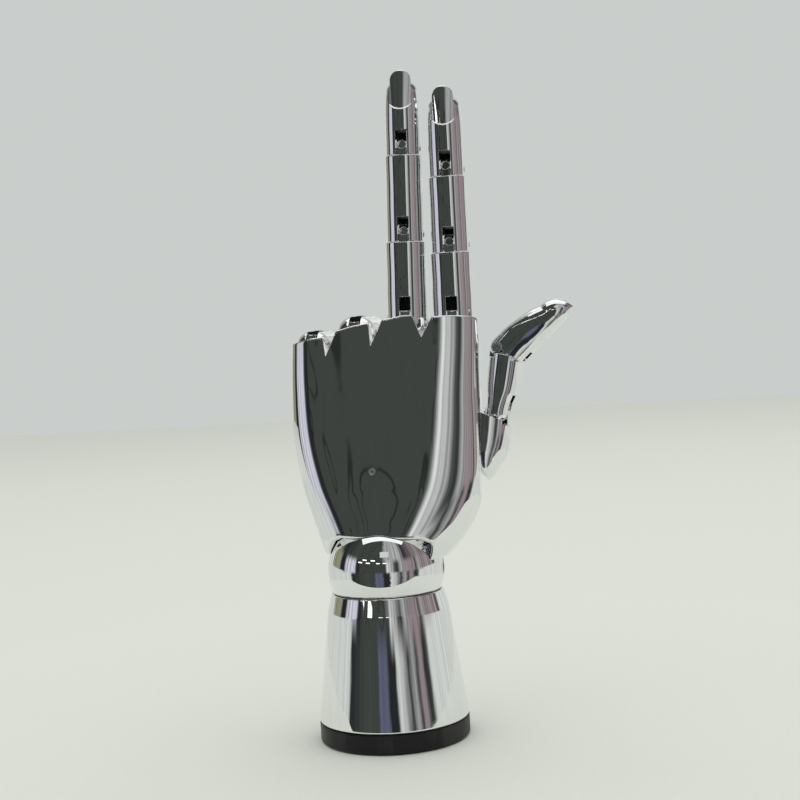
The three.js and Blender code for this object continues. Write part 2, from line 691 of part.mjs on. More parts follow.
const thumbA = THUMB_WIDE[0] / 2;
const baseHigh = THUMB_SEAM_Z - THUMB_SWIVEL_Z;
const baseLow = THUMB_BASE_BOTTOM - THUMB_SWIVEL_Z;
const baseAxis = THUMB_AXIS_X - THUMB_FACE_X;
const baseReach = baseAxis + THUMB_FOOT_R + SLIDE + COLLAR_WALL;
const baseWide = thumbA + SLIDE + THUMB_CHEEK;
const eggRows = [
  [baseLow, 0.6, 0.6, 1.5, 1.5, 2],
  [baseLow + 2.5, 1.8, 3.7, 5.8, 5.8, 2],
  [baseLow + 9, 3.4, baseReach - 3.4, baseWide - 0.6, baseWide - 0.6, 2.1],
  [baseLow + 15, 6, baseReach - 1, baseWide - 0.2, baseWide - 0.2, 2.3],
  [baseHigh + 3, 6, baseReach, baseWide, baseWide, 2.6],
];
const egg = loft(eggRows, 9, 24);
const eggPoints = egg.attributes.position;
for (let i = 0; i < eggPoints.count; i += 1) {
  const up = Math.min((eggPoints.getZ(i) - baseLow) / 15, 1);
  eggPoints.setX(i, eggPoints.getX(i) + THUMB_BASE_MID * (1 - up) ** 2);
}
const eggFlat = box(-40, SEAT, -40, 40, -60, 60);
const eggTop = box(-40, 40, -40, 40, 0, 40)
  .rotateY(deg(THUMB_BASE_SLANT))
  .translate(baseAxis, 0, baseHigh);
const toBase = new THREE.Matrix4()
  .makeRotationZ(deg(THUMB_TURN))
  .setPosition(baseAxis, 0, baseHigh + PIN_RISE);
const baseRoom = socket(thumbA, THUMB_FOOT_R, thumbA + SLIDE, false, 30).applyMatrix4(toBase);
const baseLug = lug(THUMB_FOOT_R, -THUMB_FOOT_R - 2).applyMatrix4(toBase);
const baseBore = rodX(THUMB_PIVOT_R + RUN, -1, THUMB_PIVOT_L / 2 - 2 + SEAT, 24);
const baseCup = cut(egg, eggFlat, eggTop, baseRoom);
add(thumbSwivel, "thumb_base", cut(join(baseCup, cut(baseLug, eggFlat)), baseBore), chrome);
add(
  thumbSwivel,
  "thumb_pivot_pin",
  rodX(THUMB_PIVOT_R, -THUMB_PIVOT_L / 2, THUMB_PIVOT_L / 2 - 2, 24),
  steel,
);
const thumbLow = hinge(thumbTurn, "thumb_proximal_frame", [0, 0, 0], 0, THUMB_BEND[0]);
add(
  thumbLow,
  "thumb_proximal",
  segment({
    low: SLOT_RISE,
    long: THUMB_LONG[0],
    wide: THUMB_WIDE[0],
    deep: THUMB_DEEP[0],
    knob: THUMB_FOOT_R,
    footBack: THUMB_FOOT_R,
    slotTop: SLOT_RISE - PIN_RISE,
    headSide: 1,
    next: {
      wide: THUMB_WIDE[1],
      knob: THUMB_KNOB_R,
      lugRound: THUMB_LUG_R,
      shift: THUMB_PIN_SHIFT,
      mitre: THUMB_MITRE[0],
    },
  }),
  chrome,
);
add(thumbLow, "thumb_low_screw", hingeScrew(THUMB_WIDE[0] / 2, 1), steel);
const thumbTipPin = [0, THUMB_PIN_SHIFT, THUMB_LONG[0]];
const thumbHigh = hinge(thumbLow, "thumb_distal_frame", thumbTipPin, 0, THUMB_BEND[1]);
add(
  thumbHigh,
  "thumb_distal",
  segment({
    low: SLOT_RISE,
    long: THUMB_LONG[1],
    wide: THUMB_WIDE[1],
    deep: THUMB_DEEP[1],
    slotTop: SLOT_RISE - PIN_RISE,
    headSide: -1,
    knob: THUMB_KNOB_R,
    shift: THUMB_DEEP[1] / 2 - THUMB_KNOB_R + 0.6,
    lugRound: THUMB_LUG_R,
    mitre: THUMB_MITRE[1],
    tip: THUMB_TIP,
  }),
  chrome,
);
add(thumbHigh, "thumb_tip_screw", hingeScrew(THUMB_WIDE[1] / 2, -1), steel);

export default root;
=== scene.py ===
# %% [markdown]
# # A chrome hand mannequin
# A display hand stands on a cone-shaped forearm with a black foot. A ball makes the wrist, and every
# finger is a row of short shells joined by slotted hinges with a cross screw. The solids from the
# part's source are the fixed frame. They are right in size but faceted, and mirror plating shows
# every facet, so this lesson rebuilds each plated shell with a smooth skin in the same place.

# %% Load the frame
import math

import bpy
import numpy as np
from mathutils import Matrix, Vector
from mathutils.bvhtree import BVHTree
from mathutils.interpolate import poly_3d_calc


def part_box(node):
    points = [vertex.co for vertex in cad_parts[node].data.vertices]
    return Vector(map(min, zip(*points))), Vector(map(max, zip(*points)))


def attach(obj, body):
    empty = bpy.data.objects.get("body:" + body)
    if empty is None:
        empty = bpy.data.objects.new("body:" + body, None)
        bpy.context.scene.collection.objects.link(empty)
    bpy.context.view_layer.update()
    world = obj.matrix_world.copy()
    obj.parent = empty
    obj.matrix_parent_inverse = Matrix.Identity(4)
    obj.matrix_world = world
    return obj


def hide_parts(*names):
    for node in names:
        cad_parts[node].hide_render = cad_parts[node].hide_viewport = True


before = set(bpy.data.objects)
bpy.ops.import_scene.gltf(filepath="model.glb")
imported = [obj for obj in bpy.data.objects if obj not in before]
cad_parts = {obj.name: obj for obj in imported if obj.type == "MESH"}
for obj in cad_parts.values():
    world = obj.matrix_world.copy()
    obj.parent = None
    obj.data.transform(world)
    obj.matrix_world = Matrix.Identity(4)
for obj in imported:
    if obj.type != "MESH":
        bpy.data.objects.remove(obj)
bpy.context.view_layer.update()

MM = 0.001

# %% [markdown]
# ## The camera
# The photograph was taken from a little above the middle of the hand and slightly from the thumb's
# side. The camera was also held a few degrees off level, so the hand leans to the left. These
# numbers describe that place in millimetres, and the lens is set for a square picture.

# %% Camera
CAMERA_AWAY = 530.0
CAMERA_HIGH = 145.3
CAMERA_AZIMUTH = math.radians(8.5)
CAMERA_PITCH = -0.0205
CAMERA_ROLL = 0.0579
CAMERA_SIDE = 9.35
LENS_OVER_PICTURE = 1323.5 / 800.0


def make_camera():
    data = bpy.data.cameras.new("camera")
    data.sensor_width = 36.0
    data.sensor_fit = "HORIZONTAL"
    data.lens = LENS_OVER_PICTURE * data.sensor_width
    data.clip_start = 0.01
    data.clip_end = 50.0
    camera = bpy.data.objects.new("camera", data)
    bpy.context.scene.collection.objects.link(camera)
    sine, cosine = math.sin(CAMERA_AZIMUTH), math.cos(CAMERA_AZIMUTH)
    across = Vector((cosine, sine, 0.0))
    back = Vector((sine, -cosine, 0.0))
    place = back * CAMERA_AWAY + across * CAMERA_SIDE + Vector((0.0, 0.0, CAMERA_HIGH))
    look = -back * math.cos(CAMERA_PITCH) + Vector((0.0, 0.0, math.sin(CAMERA_PITCH)))
    turn = look.to_track_quat("-Z", "Y").to_matrix() @ Matrix.Rotation(-CAMERA_ROLL, 3, "Z")
    camera.matrix_world = Matrix.Translation(place * MM) @ turn.to_4x4()
    bpy.context.scene.camera = camera
    return camera


camera = make_camera()
print("camera at", [round(v, 3) for v in camera.matrix_world.translation])

# %% [markdown]
# ## Sizes of the hand
# These are the driving sizes of the solids in millimetres, so that the smooth skins land on them. A
# finger has a place across the palm, a knuckle rim with its height and slope, a sideways lean, and
# the lengths and widths of its three shells. Two fingers stand straight and two are folded.

# %% Sizes
SLIDE = 0.35
RUN = 0.09
SEAT = 0.3
BALL_R = 23.3
BALL_Z = 67.5
PALM_LEAN = math.radians(3)
# Height, reach to the left, right, back and front, squareness, middle
PALM_SECTIONS = [
    [4.8, 23.9, 24.5, 19.4, 19, 2.1, 0],
    [12, 26.4, 30.6, 18.6, 18.6, 2.2, 0],
    [20, 29.2, 35.6, 17.4, 17.8, 2.3, 0],
    [34, 33.8, 39.6, 15.4, 16.2, 2.5, 0],
    [52, 37, 39.4, 13.6, 14.2, 2.7, 0],
    [72, 37.8, 38.2, 12.2, 12.6, 2.9, 0],
    [90, 37.6, 38, 11.3, 11.4, 3, 0],
    [104, 37.4, 37.8, 10.8, 11, 3, 0],
]
STRAIGHT = [0, 0, 0]
FOLDED = [88, 85, 20]
FINGERS = {
    "index": {"at": 27.9, "rim": 100.8, "slope": 0, "lean": -2.5, "bend": STRAIGHT},
    "middle": {"at": 9.3, "rim": 100.9, "slope": 0.15, "lean": -1.2, "bend": STRAIGHT},
    "ring": {"at": -11.4, "rim": 96.9, "slope": 0.22, "lean": 1, "bend": FOLDED},
    "little": {"at": -29, "rim": 92, "slope": 0.18, "lean": 2, "bend": FOLDED},
}
LONG = {
    "index": [24.6, 29.8, 35.6],
    "middle": [28.9, 34.1, 33.6],
    "ring": [25.6, 30.4, 33],
    "little": [19.6, 23.4, 28],
}
WIDE = {
    "index": [16.4, 15.2, 14.2],
    "middle": [16.4, 15, 14],
    "ring": [15.8, 14.5, 13.4],
    "little": [13.8, 12.6, 11.7],
}
PARTS = ["proximal", "middle", "distal"]
SCREWS = ["knuckle", "middle", "tip"]
KNUCKLE_PIN_DROP = 3.2
PIN_RISE = 2.4
SLOT_W = 4.5
SLOT_RISE = 9.9
KNUCKLE_SLOT_RISE = 7.3
LUG_R = 4.8
COLLAR_WALL = 0.8
PALM_WALL = 2.2
SHANK_R = 1.25
HEAD_R = 2.1
HEAD_H = 1.1
ROUNDNESS = 2.2
DEPTH_RATIO = 0.94
print("palm rows:", len(PALM_SECTIONS), "fingers:", list(FINGERS))

# %% [markdown]
# ## Skins from sections
# On the real hand every shell is a smooth moulding. It could be sculpted, or modelled coarsely and
# subdivided, but then its sizes would drift. Here a shell is a stack of rounded outlines along its
# length. Each outline is a superellipse: its power says how square it is, and it has its own reach to
# the left, right, back and front. A smooth curve through a few rows gives as many outlines as a mirror
# finish needs.

# %% Outlines
SIDES = 96


def around(count=SIDES):
    """Angles in equal steps round a full turn."""
    return np.arange(count) * (2 * math.pi / count)


def smooth_row(rows, z):
    """The values at height z on a smooth curve through the rows."""
    i = 0
    while i < len(rows) - 2 and z > rows[i + 1][0]:
        i += 1
    a, b = np.array(rows[i], float), np.array(rows[i + 1], float)
    before = np.array(rows[i - 1], float) if i else a
    after = np.array(rows[i + 2], float) if i + 2 < len(rows) else b
    high = b[0] - a[0]
    t = (z - a[0]) / high
    m0 = (b - before) / (b[0] - before[0]) * high
    m1 = (after - a) / (after[0] - a[0]) * high
    d = b - a
    return a + t * (m0 + t * (3 * d - 2 * m0 - m1 + t * (m0 + m1 - 2 * d)))


def outline(row, angles):
    """One rounded outline, widest at the depth mid."""
    z, left, right, back, front, square, mid = row
    c, s = np.cos(angles), np.sin(angles)
    power = 2 / square
    x = np.where(c > 0, right, left) * np.sign(c) * np.abs(c) ** power
    y = mid + np.where(s > 0, front - mid, back + mid) * np.sign(s) * np.abs(s) ** power
    return np.stack([x, y, np.full_like(x, z)], 1)


def inset(row, by):
    """The same outline drawn in on every side."""
    z, left, right, back, front, square, mid = row
    return [z, left - by, right - by, back - by, front - by, square, mid]


sample = outline([0, 8, 8, 7.5, 7.5, ROUNDNESS, 0], around(8))
print("a finger's outline starts at", np.round(sample[:3, :2], 1).tolist())

# %% Skins over rings of points
ROUND_SIDES = 128


def new_object(name, points, faces):
    """A new object in the scene from points and faces."""
    mesh = bpy.data.meshes.new(name)
    mesh.from_pydata(np.asarray(points, float).tolist(), [], faces)
    mesh.update()
    made = bpy.data.objects.new(name, mesh)
    bpy.context.scene.collection.objects.link(made)
    return made


def skin(name, rings):
    """A closed skin over rings with the same number of points, with a fan on each end."""
    count, sides = len(rings), len(rings[0])
    points = np.concatenate([*rings, [rings[0].mean(0)], [rings[-1].mean(0)]])
    low, top = count * sides, (count - 1) * sides
    faces = []
    for i in range(sides):
        j = (i + 1) % sides
        faces.append((low, j, i))
        faces.append((low + 1, top + i, top + j))
        for a in range(0, top, sides):
            faces.append((a + i, a + j, a + sides + j, a + sides + i))
    return new_object(name, points, faces)


def rings_round(profile, sides):
    """A ring of points about Z for each [radius, height] of a profile."""
    c, s = np.cos(around(sides)), np.sin(around(sides))
    return [np.stack([r * c, r * s, np.full(sides, z)], 1) for r, z in profile]


def bands(count, sides, closed=False):
    """The faces between rings of points, and from the last ring to the first one if closed."""
    faces = []
    for k in range(count if closed else count - 1):
        a, b = k * sides, (k + 1) % count * sides
        faces += [(a + i, a + (i + 1) % sides, b + (i + 1) % sides, b + i) for i in range(sides)]
    return faces


def turned(name, profile, sides=ROUND_SIDES):
    """A closed shape turned about Z from [radius, height] points, axis to axis."""
    return skin(name, rings_round(profile, sides))


print("faces of one band round a turned part:", len(bands(2, ROUND_SIDES)))

# %% Plain shapes for cutting
ROD_SIDES = 48
BALL_RINGS = 97
AXIS_SHARE = 1e-4


def sphere(radius):
    """A ball about the origin, turned from a half circle."""
    angles = np.linspace(-math.pi / 2, math.pi / 2, BALL_RINGS)
    return turned("sphere", [[radius * max(math.cos(a), AXIS_SHARE), radius * math.sin(a)] for a in angles])


def block(x0, x1, y0, y1, z0, z1):
    """A box between two opposite corners."""
    corners = [(x, y, z) for x in (x0, x1) for y in (y0, y1) for z in (z0, z1)]
    faces = [(0, 1, 3, 2), (4, 6, 7, 5), (0, 4, 5, 1), (2, 3, 7, 6), (0, 2, 6, 4), (1, 5, 7, 3)]
    return new_object("block", corners, faces)


def rod_x(radius, x0, x1):
    """A rod along X, for a pin or for the hole of one."""
    made = turned("rod", [[radius, x0], [radius, x1]], ROD_SIDES)
    made.data.transform(Matrix.Rotation(math.pi / 2, 4, "Y"))
    return made


print("sides of a rod:", ROD_SIDES, "rings of a ball:", BALL_RINGS)

# %% [markdown]
# ## Cutting and joining
# Slots, sockets and screw holes are cut with the Boolean modifier. Its manifold solver is fast and
# exact on closed meshes. Each cut leaves odd-shaped faces beside it, and on a mirror those would show
# as dents. So every corner that still lies on the uncut skin gets that skin's own normal back.

# %% Booleans
def combine(base, tool, operation):
    """Applies one boolean to base and deletes the tool."""
    modifier = base.modifiers.new("combine", "BOOLEAN")
    modifier.operation = operation
    modifier.solver = "MANIFOLD"
    modifier.object = tool
    graph = bpy.context.evaluated_depsgraph_get()
    made = bpy.data.meshes.new_from_object(base.evaluated_get(graph))
    base.modifiers.clear()
    old = base.data
    base.data = made
    bpy.data.meshes.remove(old)
    bpy.data.meshes.remove(tool.data)
    return base


def cut(base, *tools):
    """Takes the tools away from base."""
    for tool in tools:
        combine(base, tool, "DIFFERENCE")
    return base


def join(base, *tools):
    """Adds the tools to base."""
    for tool in tools:
        combine(base, tool, "UNION")
    return base


def move(obj, matrix):
    """Moves the mesh itself, so that the object stays at the origin."""
    obj.data.transform(matrix)
    return obj


print("boolean solver: manifold")

# %% Clean normals
SHARP = math.radians(32)
ON_SKIN = 0.004
SAME_WAY = 0.9
FACING = 0.5


class Skin:
    """The uncut skin of a piece: where it is and which way it faces."""

    def __init__(self, obj):
        mesh = obj.data
        self.points = [v.co.copy() for v in mesh.vertices]
        self.normals = [v.vector.copy() for v in mesh.vertex_normals]
        self.faces = [tuple(p.vertices) for p in mesh.polygons]
        self.tree = BVHTree.FromPolygons(self.points, self.faces)

    def normal(self, point):
        """The smooth normal at a point on the skin, or None away from it."""
        place, flat, index, away = self.tree.find_nearest(point)
        if index is None or away > ON_SKIN:
            return None, None
        corners = self.faces[index]
        shares = poly_3d_calc([self.points[i] for i in corners], place)
        return sum((self.normals[i] * w for i, w in zip(corners, shares)), Vector()).normalized(), flat


def polish(obj, *skins):
    """Smooth shading, with the skins' own normals wherever the surface still lies on one."""
    mesh = obj.data
    mesh.shade_smooth()
    mesh.set_sharp_from_angle(angle=SHARP)
    normals = [n.vector.copy() for n in mesh.corner_normals]
    for source in skins:
        known = {}
        for face in mesh.polygons:
            middle, flat = source.normal(face.center)
            if middle is None or flat.dot(face.normal) < SAME_WAY:
                continue
            for loop in face.loop_indices:
                vertex = mesh.loops[loop].vertex_index
                if vertex not in known:
                    known[vertex] = source.normal(mesh.vertices[vertex].co)[0]
                if known[vertex] is not None and known[vertex].dot(face.normal) > FACING:
                    normals[loop] = known[vertex]
    mesh.normals_split_custom_set([tuple(n) for n in normals])
    return obj


print("edges over", round(math.degrees(SHARP)), "degrees stay sharp")

# %% [markdown]
# ## Finishes
# Mirror plating, satin black moulding and plain steel show from outside, rubber only deep inside. The
# inside of the slots gets a near-black finish, which is painted shade for the dark recesses. A plain
# metal shader would look too clean, because real plating over moulded plastic isn't a perfect mirror. It
# has long soft waves from the mould, fine wipe marks, and a little dust. Waves and marks are used by
# more than one finish, so each is a node group.

# %% Node helpers
def add(tree, kind, inputs, output=0, **settings):
    """Adds a shader node with its settings and inputs, and gives back one of its outputs."""
    node = tree.nodes.new("ShaderNode" + kind)
    for name, value in settings.items():
        setattr(node, name, value)
    for name, value in inputs.items():
        socket = node.inputs[name]
        if isinstance(value, bpy.types.NodeSocket):
            tree.links.new(value, socket)
        else:
            socket.default_value = (*value, 1.0) if socket.type == "RGBA" else value
    return node.outputs[output]


def calc(tree, operation, a, b=0.0):
    """One step of arithmetic, on numbers or on the outputs of other nodes."""
    return add(tree, "Math", {0: a, 1: b}, operation=operation)


def noise(tree, place, scale, detail=3.0):
    """Soft noise between 0 and 1."""
    return add(tree, "TexNoise", {"Vector": place, "Scale": scale, "Detail": detail}, "Fac")


def spread(tree, value, low, high):
    """Takes a value between 0 and 1 to one between low and high."""
    return add(tree, "MapRange", {"Value": value, "To Min": low, "To Max": high})


def mix(tree, value, low, high):
    """The colour low at 0 and high at 1."""
    return add(tree, "Mix", {"Factor": value, "A": low, "B": high}, "Result", data_type="RGBA")


def new_material(name):
    """A new material with its node tree and its shader."""
    material = bpy.data.materials.new(name)
    material.use_nodes = True
    return material, material.node_tree, material.node_tree.nodes["Principled BSDF"]


print("node helpers:", [helper.__name__ for helper in (add, calc, noise, spread, mix)])

# %% Group: wipe marks
MARKS_FROM, MARKS_TO = 0.22, 0.42
MARKS_STRETCH = (1.0, 1.0, 0.12)
MARKS_TURN = (0.3, 0.2, 0.0)
PATCH_SCALE = 60.0


def new_group(name, output, kind, **inputs):
    """A node group with number inputs and one output. Gives back its ends and the place on the object."""
    group = bpy.data.node_groups.new(name, "ShaderNodeTree")
    for label, default in inputs.items():
        socket = group.interface.new_socket(name=label, in_out="INPUT", socket_type="NodeSocketFloat")
        socket.default_value = default
    group.interface.new_socket(name=output, in_out="OUTPUT", socket_type=kind)
    start = group.nodes.new("NodeGroupInput").outputs
    end = group.nodes.new("NodeGroupOutput").inputs[output]
    return group, start, end, add(group, "TexCoord", {}, "Object")


def make_wipe_marks():
    """Wipe marks and dust: a value near 0 on clean plating and near 1 in a mark."""
    group, start, end, place = new_group("wipe_marks", "Marks", "NodeSocketFloat", Scale=300.0, Amount=0.3)
    wiped = add(group, "Mapping", {"Vector": place, "Scale": MARKS_STRETCH, "Rotation": MARKS_TURN})
    streaks = noise(group, wiped, start["Scale"], 6.0)
    both = calc(group, "MULTIPLY", streaks, noise(group, place, PATCH_SCALE, 4.0))
    marks = add(group, "MapRange", {"Value": both, "From Min": MARKS_FROM, "From Max": MARKS_TO})
    group.links.new(calc(group, "MULTIPLY", marks, start["Amount"]), end)
    return group


wipe_marks = make_wipe_marks()
print("group:", wipe_marks.name, "with", len(wipe_marks.nodes), "nodes")

# %% Group: the soft waves of a moulding
def make_moulded_normal():
    """Soft long waves, and edges rounded as by a mould: puts out a normal."""
    sizes = {"Wave": 0.00006, "Scale": 26.0, "Edge": 0.0003}
    group, start, end, place = new_group("moulded_normal", "Normal", "NodeSocketVector", **sizes)
    wave = noise(group, place, start["Scale"], 1.0)
    edge = add(group, "Bevel", {"Radius": start["Edge"]}, samples=6)
    bump = {"Strength": 1.0, "Distance": start["Wave"], "Height": wave, "Normal": edge}
    group.links.new(add(group, "Bump", bump), end)
    return group


moulded_normal = make_moulded_normal()
print("group:", moulded_normal.name, "with", len(moulded_normal.nodes), "nodes")

# %% Finishes
def make_finish(name, marks_scale, colours, roughness, moulding=None, plain=None):
    """A finish with one colour and roughness where clean and another in a wipe mark.

    moulding holds the sizes of the soft waves, and plain the values that are the same all over."""
    material, tree, shader = new_material(name)
    marks = add(tree, "Group", {"Scale": marks_scale, "Amount": 1.0}, "Marks", node_tree=wipe_marks)
    tree.links.new(mix(tree, marks, *colours), shader.inputs["Base Color"])
    tree.links.new(spread(tree, marks, *roughness), shader.inputs["Roughness"])
    if moulding:
        normal = add(tree, "Group", moulding, "Normal", node_tree=moulded_normal)
        tree.links.new(normal, shader.inputs["Normal"])
    for socket, value in (plain or {}).items():
        shader.inputs[socket].default_value = value
    return material


chrome = make_finish(
    "mirror_plating",
    marks_scale=420.0,
    colours=[(0.86, 0.87, 0.87), (0.81, 0.82, 0.82)],
    roughness=[0.012, 0.05],
    moulding={"Wave": 0.00005, "Scale": 28.0, "Edge": 0.0003},
    plain={"Metallic": 1.0},
)
black = make_finish(
    "satin_black",
    marks_scale=160.0,
    colours=[(0.006, 0.006, 0.007), (0.03, 0.03, 0.03)],
    roughness=[0.38, 0.62],
    moulding={"Wave": 0.00003, "Scale": 900.0, "Edge": 0.0005},
    plain={"Specular IOR Level": 0.25},
)
steel = make_finish(
    "turned_steel",
    marks_scale=900.0,
    colours=[(0.66, 0.665, 0.67), (0.45, 0.45, 0.45)],
    roughness=[0.3, 0.5],
    moulding={"Wave": 0.00001, "Scale": 600.0, "Edge": 0.0001},
    plain={"Metallic": 1.0},
)
rubber = make_finish("dull_rubber", 300.0, [(0.02, 0.02, 0.02), (0.05, 0.05, 0.05)], [0.75, 0.95])
# Near-black finish for the inside of the slots: painted shade in the recesses.
shade_painted_colours = [(0.012, 0.012, 0.013), (0.04, 0.04, 0.04)]
shade_painted = make_finish("painted_slot_shade", 300.0, shade_painted_colours, [0.45, 0.6], plain={"Specular IOR Level": 0.3})
print("finishes:", [m.name for m in (chrome, black, steel, rubber, shade_painted)])

# %% [markdown]
# ## Putting a skin in the place of a solid
# A finished skin takes its finish, moves into the frame in metres, stands for its solid and rides on
# the same body. Faces marked as the inside of a slot take a near-black finish, which is painted shade
# in the recess. The distance between the skin's box and the solid's box is kept as a check.

# %% Seating
worst_fit = {}


def seat(obj, name, body, material, matrix):
    """Names the piece, puts it in the frame and lets it stand for the solid of that name."""
    obj.data.transform(matrix)
    obj.data.transform(Matrix.Diagonal((MM, MM, MM, 1.0)))
    obj.name = f"{name}_skin"
    obj.data.name = obj.name
    # Faces marked as inside a slot get the near-black second finish, which paints the slot's shade.
    inside = [face.index for face in obj.data.polygons if face.material_index]
    obj.data.materials.clear()
    obj.data.materials.append(material)
    if inside:
        obj.data.materials.append(shade_painted)
    for index in inside:
        obj.data.polygons[index].material_index = 1
    low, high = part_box(name)
    points = np.array([v.co for v in obj.data.vertices])
    off = max(abs(points.min(0) - np.array(low)).max(), abs(points.max(0) - np.array(high)).max())
    worst_fit[name] = off / MM
    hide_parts(name)
    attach(obj, body)
    return obj


def seat_plated(obj, name, matrix):
    """Seats a plated shell, which has a body of its own name."""
    return seat(obj, name, name, chrome, matrix)


def seat_screw(obj, name, body, matrix):
    """Seats a steel screw on the body that it turns with."""
    return seat(obj, name, body, steel, matrix)


def fits(start):
    """How far the pieces whose names start so are off their solids, in millimetres."""
    return {name: round(off, 2) for name, off in worst_fit.items() if name.startswith(start)}


BALL_FRAME = Matrix.Translation((0, 0, BALL_Z))
PALM_FRAME = BALL_FRAME @ Matrix.Rotation(PALM_LEAN, 4, "Y")
print("palm frame leans", round(math.degrees(PALM_LEAN), 1), "degrees towards the thumb")

# %% [markdown]
# ## Foot and forearm
# The forearm is a hollow cone, and the black foot plugs it from below. Both are turned parts, so a
# profile swept round the axis is enough. The corners of a moulding are never knife-sharp: a few extra
# points round them off, and those rounds catch the bright lines. A bevel modifier could do that too,
# but one more point beside each round keeps the long straight side straight to the mirror.

# %% Rounded profiles
MOST_OF_SIDE = 0.45
BESIDE_ROUND = 0.2


def rounded(points, radius, steps=5):
    """The profile with its inner points rounded off, as far as radius allows."""
    made = [points[0]]
    for before, here, after in zip(points, points[1:], points[2:]):
        p, q, r = np.array(before, float), np.array(here, float), np.array(after, float)
        reach = min(radius, MOST_OF_SIDE * np.linalg.norm(p - q), MOST_OF_SIDE * np.linalg.norm(r - q))
        a = q + (p - q) / np.linalg.norm(p - q) * reach
        b = q + (r - q) / np.linalg.norm(r - q) * reach
        made.append(list(a + (p - q) / np.linalg.norm(p - q) * min(BESIDE_ROUND, reach)))
        for t in np.linspace(0, 1, steps):
            made.append(list((1 - t) ** 2 * a + 2 * t * (1 - t) * q + t**2 * b))
        made.append(list(b + (r - q) / np.linalg.norm(r - q) * min(BESIDE_ROUND, reach)))
    made.append(points[-1])
    return made


corner = rounded([[0, 0], [1, 0], [1, 1]], BESIDE_ROUND)
print("one rounded corner has", len(corner) - 2, "points")

# %% Foot
FOOT_R = 30
FOOT_H = 7.9
FOOT_CHAMFER = 0.9
SPIGOT_H = 6
CONE_TOP_R = 24.3
CONE_TOP_Z = 51.6
FOREARM_WALL = 2.6
FOOT_ROUND = 0.45
AXIS_R = 0.01


def cavity_r(z):
    """The radius of the hollow in the cone at a height."""
    return FOOT_R + (CONE_TOP_R - FOOT_R) * (z - FOOT_H) / (CONE_TOP_Z - FOOT_H) - FOREARM_WALL


def make_foot():
    """The foot with the spigot that plugs the cone."""
    top = FOOT_H + SPIGOT_H
    profile = [
        [AXIS_R, 0],
        [FOOT_R - FOOT_CHAMFER, 0],
        [FOOT_R, FOOT_CHAMFER],
        [FOOT_R, FOOT_H],
        [cavity_r(FOOT_H) - SEAT, FOOT_H],
        [cavity_r(top) - SEAT, top],
        [AXIS_R, top],
    ]
    return polish(turned("foot", rounded(profile, FOOT_ROUND)))


seat(make_foot(), "base_foot", "forearm", black, Matrix.Identity(4))
print("foot off its solid by", fits("base_foot"), "mm")

# %% Forearm
RIM_R = 22.5
RIM_Z = 58.6
DECK_Z = 36
BOLT_R = 3
CONE_CHAMFER = 0.4
FOREARM_ROUND = 0.35
BOWL_RINGS = 24
FOREARM_SIDES = 160


def make_forearm():
    """The hollow cone, turned from a profile that closes on itself."""
    low = FOOT_H + SEAT
    seat_r = BALL_R + SLIDE
    start = math.asin((RIM_Z - BALL_Z) / seat_r)
    end = -math.acos((BOLT_R + SLIDE) / seat_r)
    bowl = []
    for angle in np.linspace(start, end, BOWL_RINGS):
        bowl.append([seat_r * math.cos(angle), BALL_Z + seat_r * math.sin(angle)])
    outer = [
        [FOOT_R - CONE_CHAMFER, low],
        [FOOT_R, low + CONE_CHAMFER],
        [CONE_TOP_R, CONE_TOP_Z],
        [RIM_R, RIM_Z],
        bowl[0],
    ]
    inner = [[BOLT_R + SLIDE, DECK_Z], [cavity_r(DECK_Z), DECK_Z], [cavity_r(low), low]]
    rings = rings_round(rounded(outer, FOREARM_ROUND) + bowl[1:] + inner, FOREARM_SIDES)
    faces = bands(len(rings), FOREARM_SIDES, closed=True)
    return polish(new_object("forearm", np.concatenate(rings), faces))


seat(make_forearm(), "forearm_shell", "forearm", chrome, Matrix.Identity(4))
print("forearm off its solid by", fits("forearm"), "mm")

# %% [markdown]
# ## Wrist ball
# A ball with a slot on top for the steel tongue that carries the palm, and a hole from below for the
# bolt. Only the band between palm and forearm shows. Blender's own sphere would do as well, but a
# turned half circle uses the same helper as the other round parts.

# %% Wrist ball
TONGUE_T = 5
TONGUE_HALF = 5.2
BALL_SLOT_HALF = 13.5
BOLT_DEPTH = 11
PIVOT_HALF = 17
PIVOT_SCALE = 1.4
PIVOT_SINK = 0.6


def make_ball():
    """The ball with its slot and the holes of the bolt and the pivot screw."""
    ball = sphere(BALL_R)
    whole = Skin(ball)
    past = BALL_R + 1
    bolt_r = BOLT_R + RUN
    bolt = turned("bolt_hole", [[bolt_r, -past], [bolt_r, BOLT_DEPTH - BALL_R + SEAT]], ROD_SIDES)
    room = TONGUE_T / 2 + SLIDE
    slot = block(-room, room, -BALL_SLOT_HALF, BALL_SLOT_HALF, -TONGUE_HALF - 1, past)
    shank = rod_x(SHANK_R * PIVOT_SCALE + RUN, -PIVOT_HALF, past)
    under_head = BALL_R - PIVOT_SINK - HEAD_H * PIVOT_SCALE - SEAT
    head = rod_x(HEAD_R * PIVOT_SCALE + RUN, under_head, past)
    return polish(cut(ball, bolt, slot, shank, head), whole)


ball = seat(make_ball(), "wrist_ball", "wrist", chrome, BALL_FRAME)
print("ball off its solid by", fits("wrist_ball"), "mm, faces:", len(ball.data.polygons))

# %% [markdown]
# ## Hinges
# Every finger hinge is the same: a plate with a round end stands up from the lower shell into a slot
# of the upper one, and a screw goes through both. The lower shell has a thin collar that is open on
# the palm side, so that the finger can bend. Every piece of a hinge is made about its pin as a plain
# closed shape, and a shell then cuts it out or joins it on. So one set of sizes serves all hinges.

# %% Room for a turning shell
FAR = 40.0


def bar(a, b, z0, z1):
    """An upright bar with a shell's outline."""
    return skin("bar", [outline([z, a, a, b, b, ROUNDNESS, 0], around()) for z in (z0, z1)])


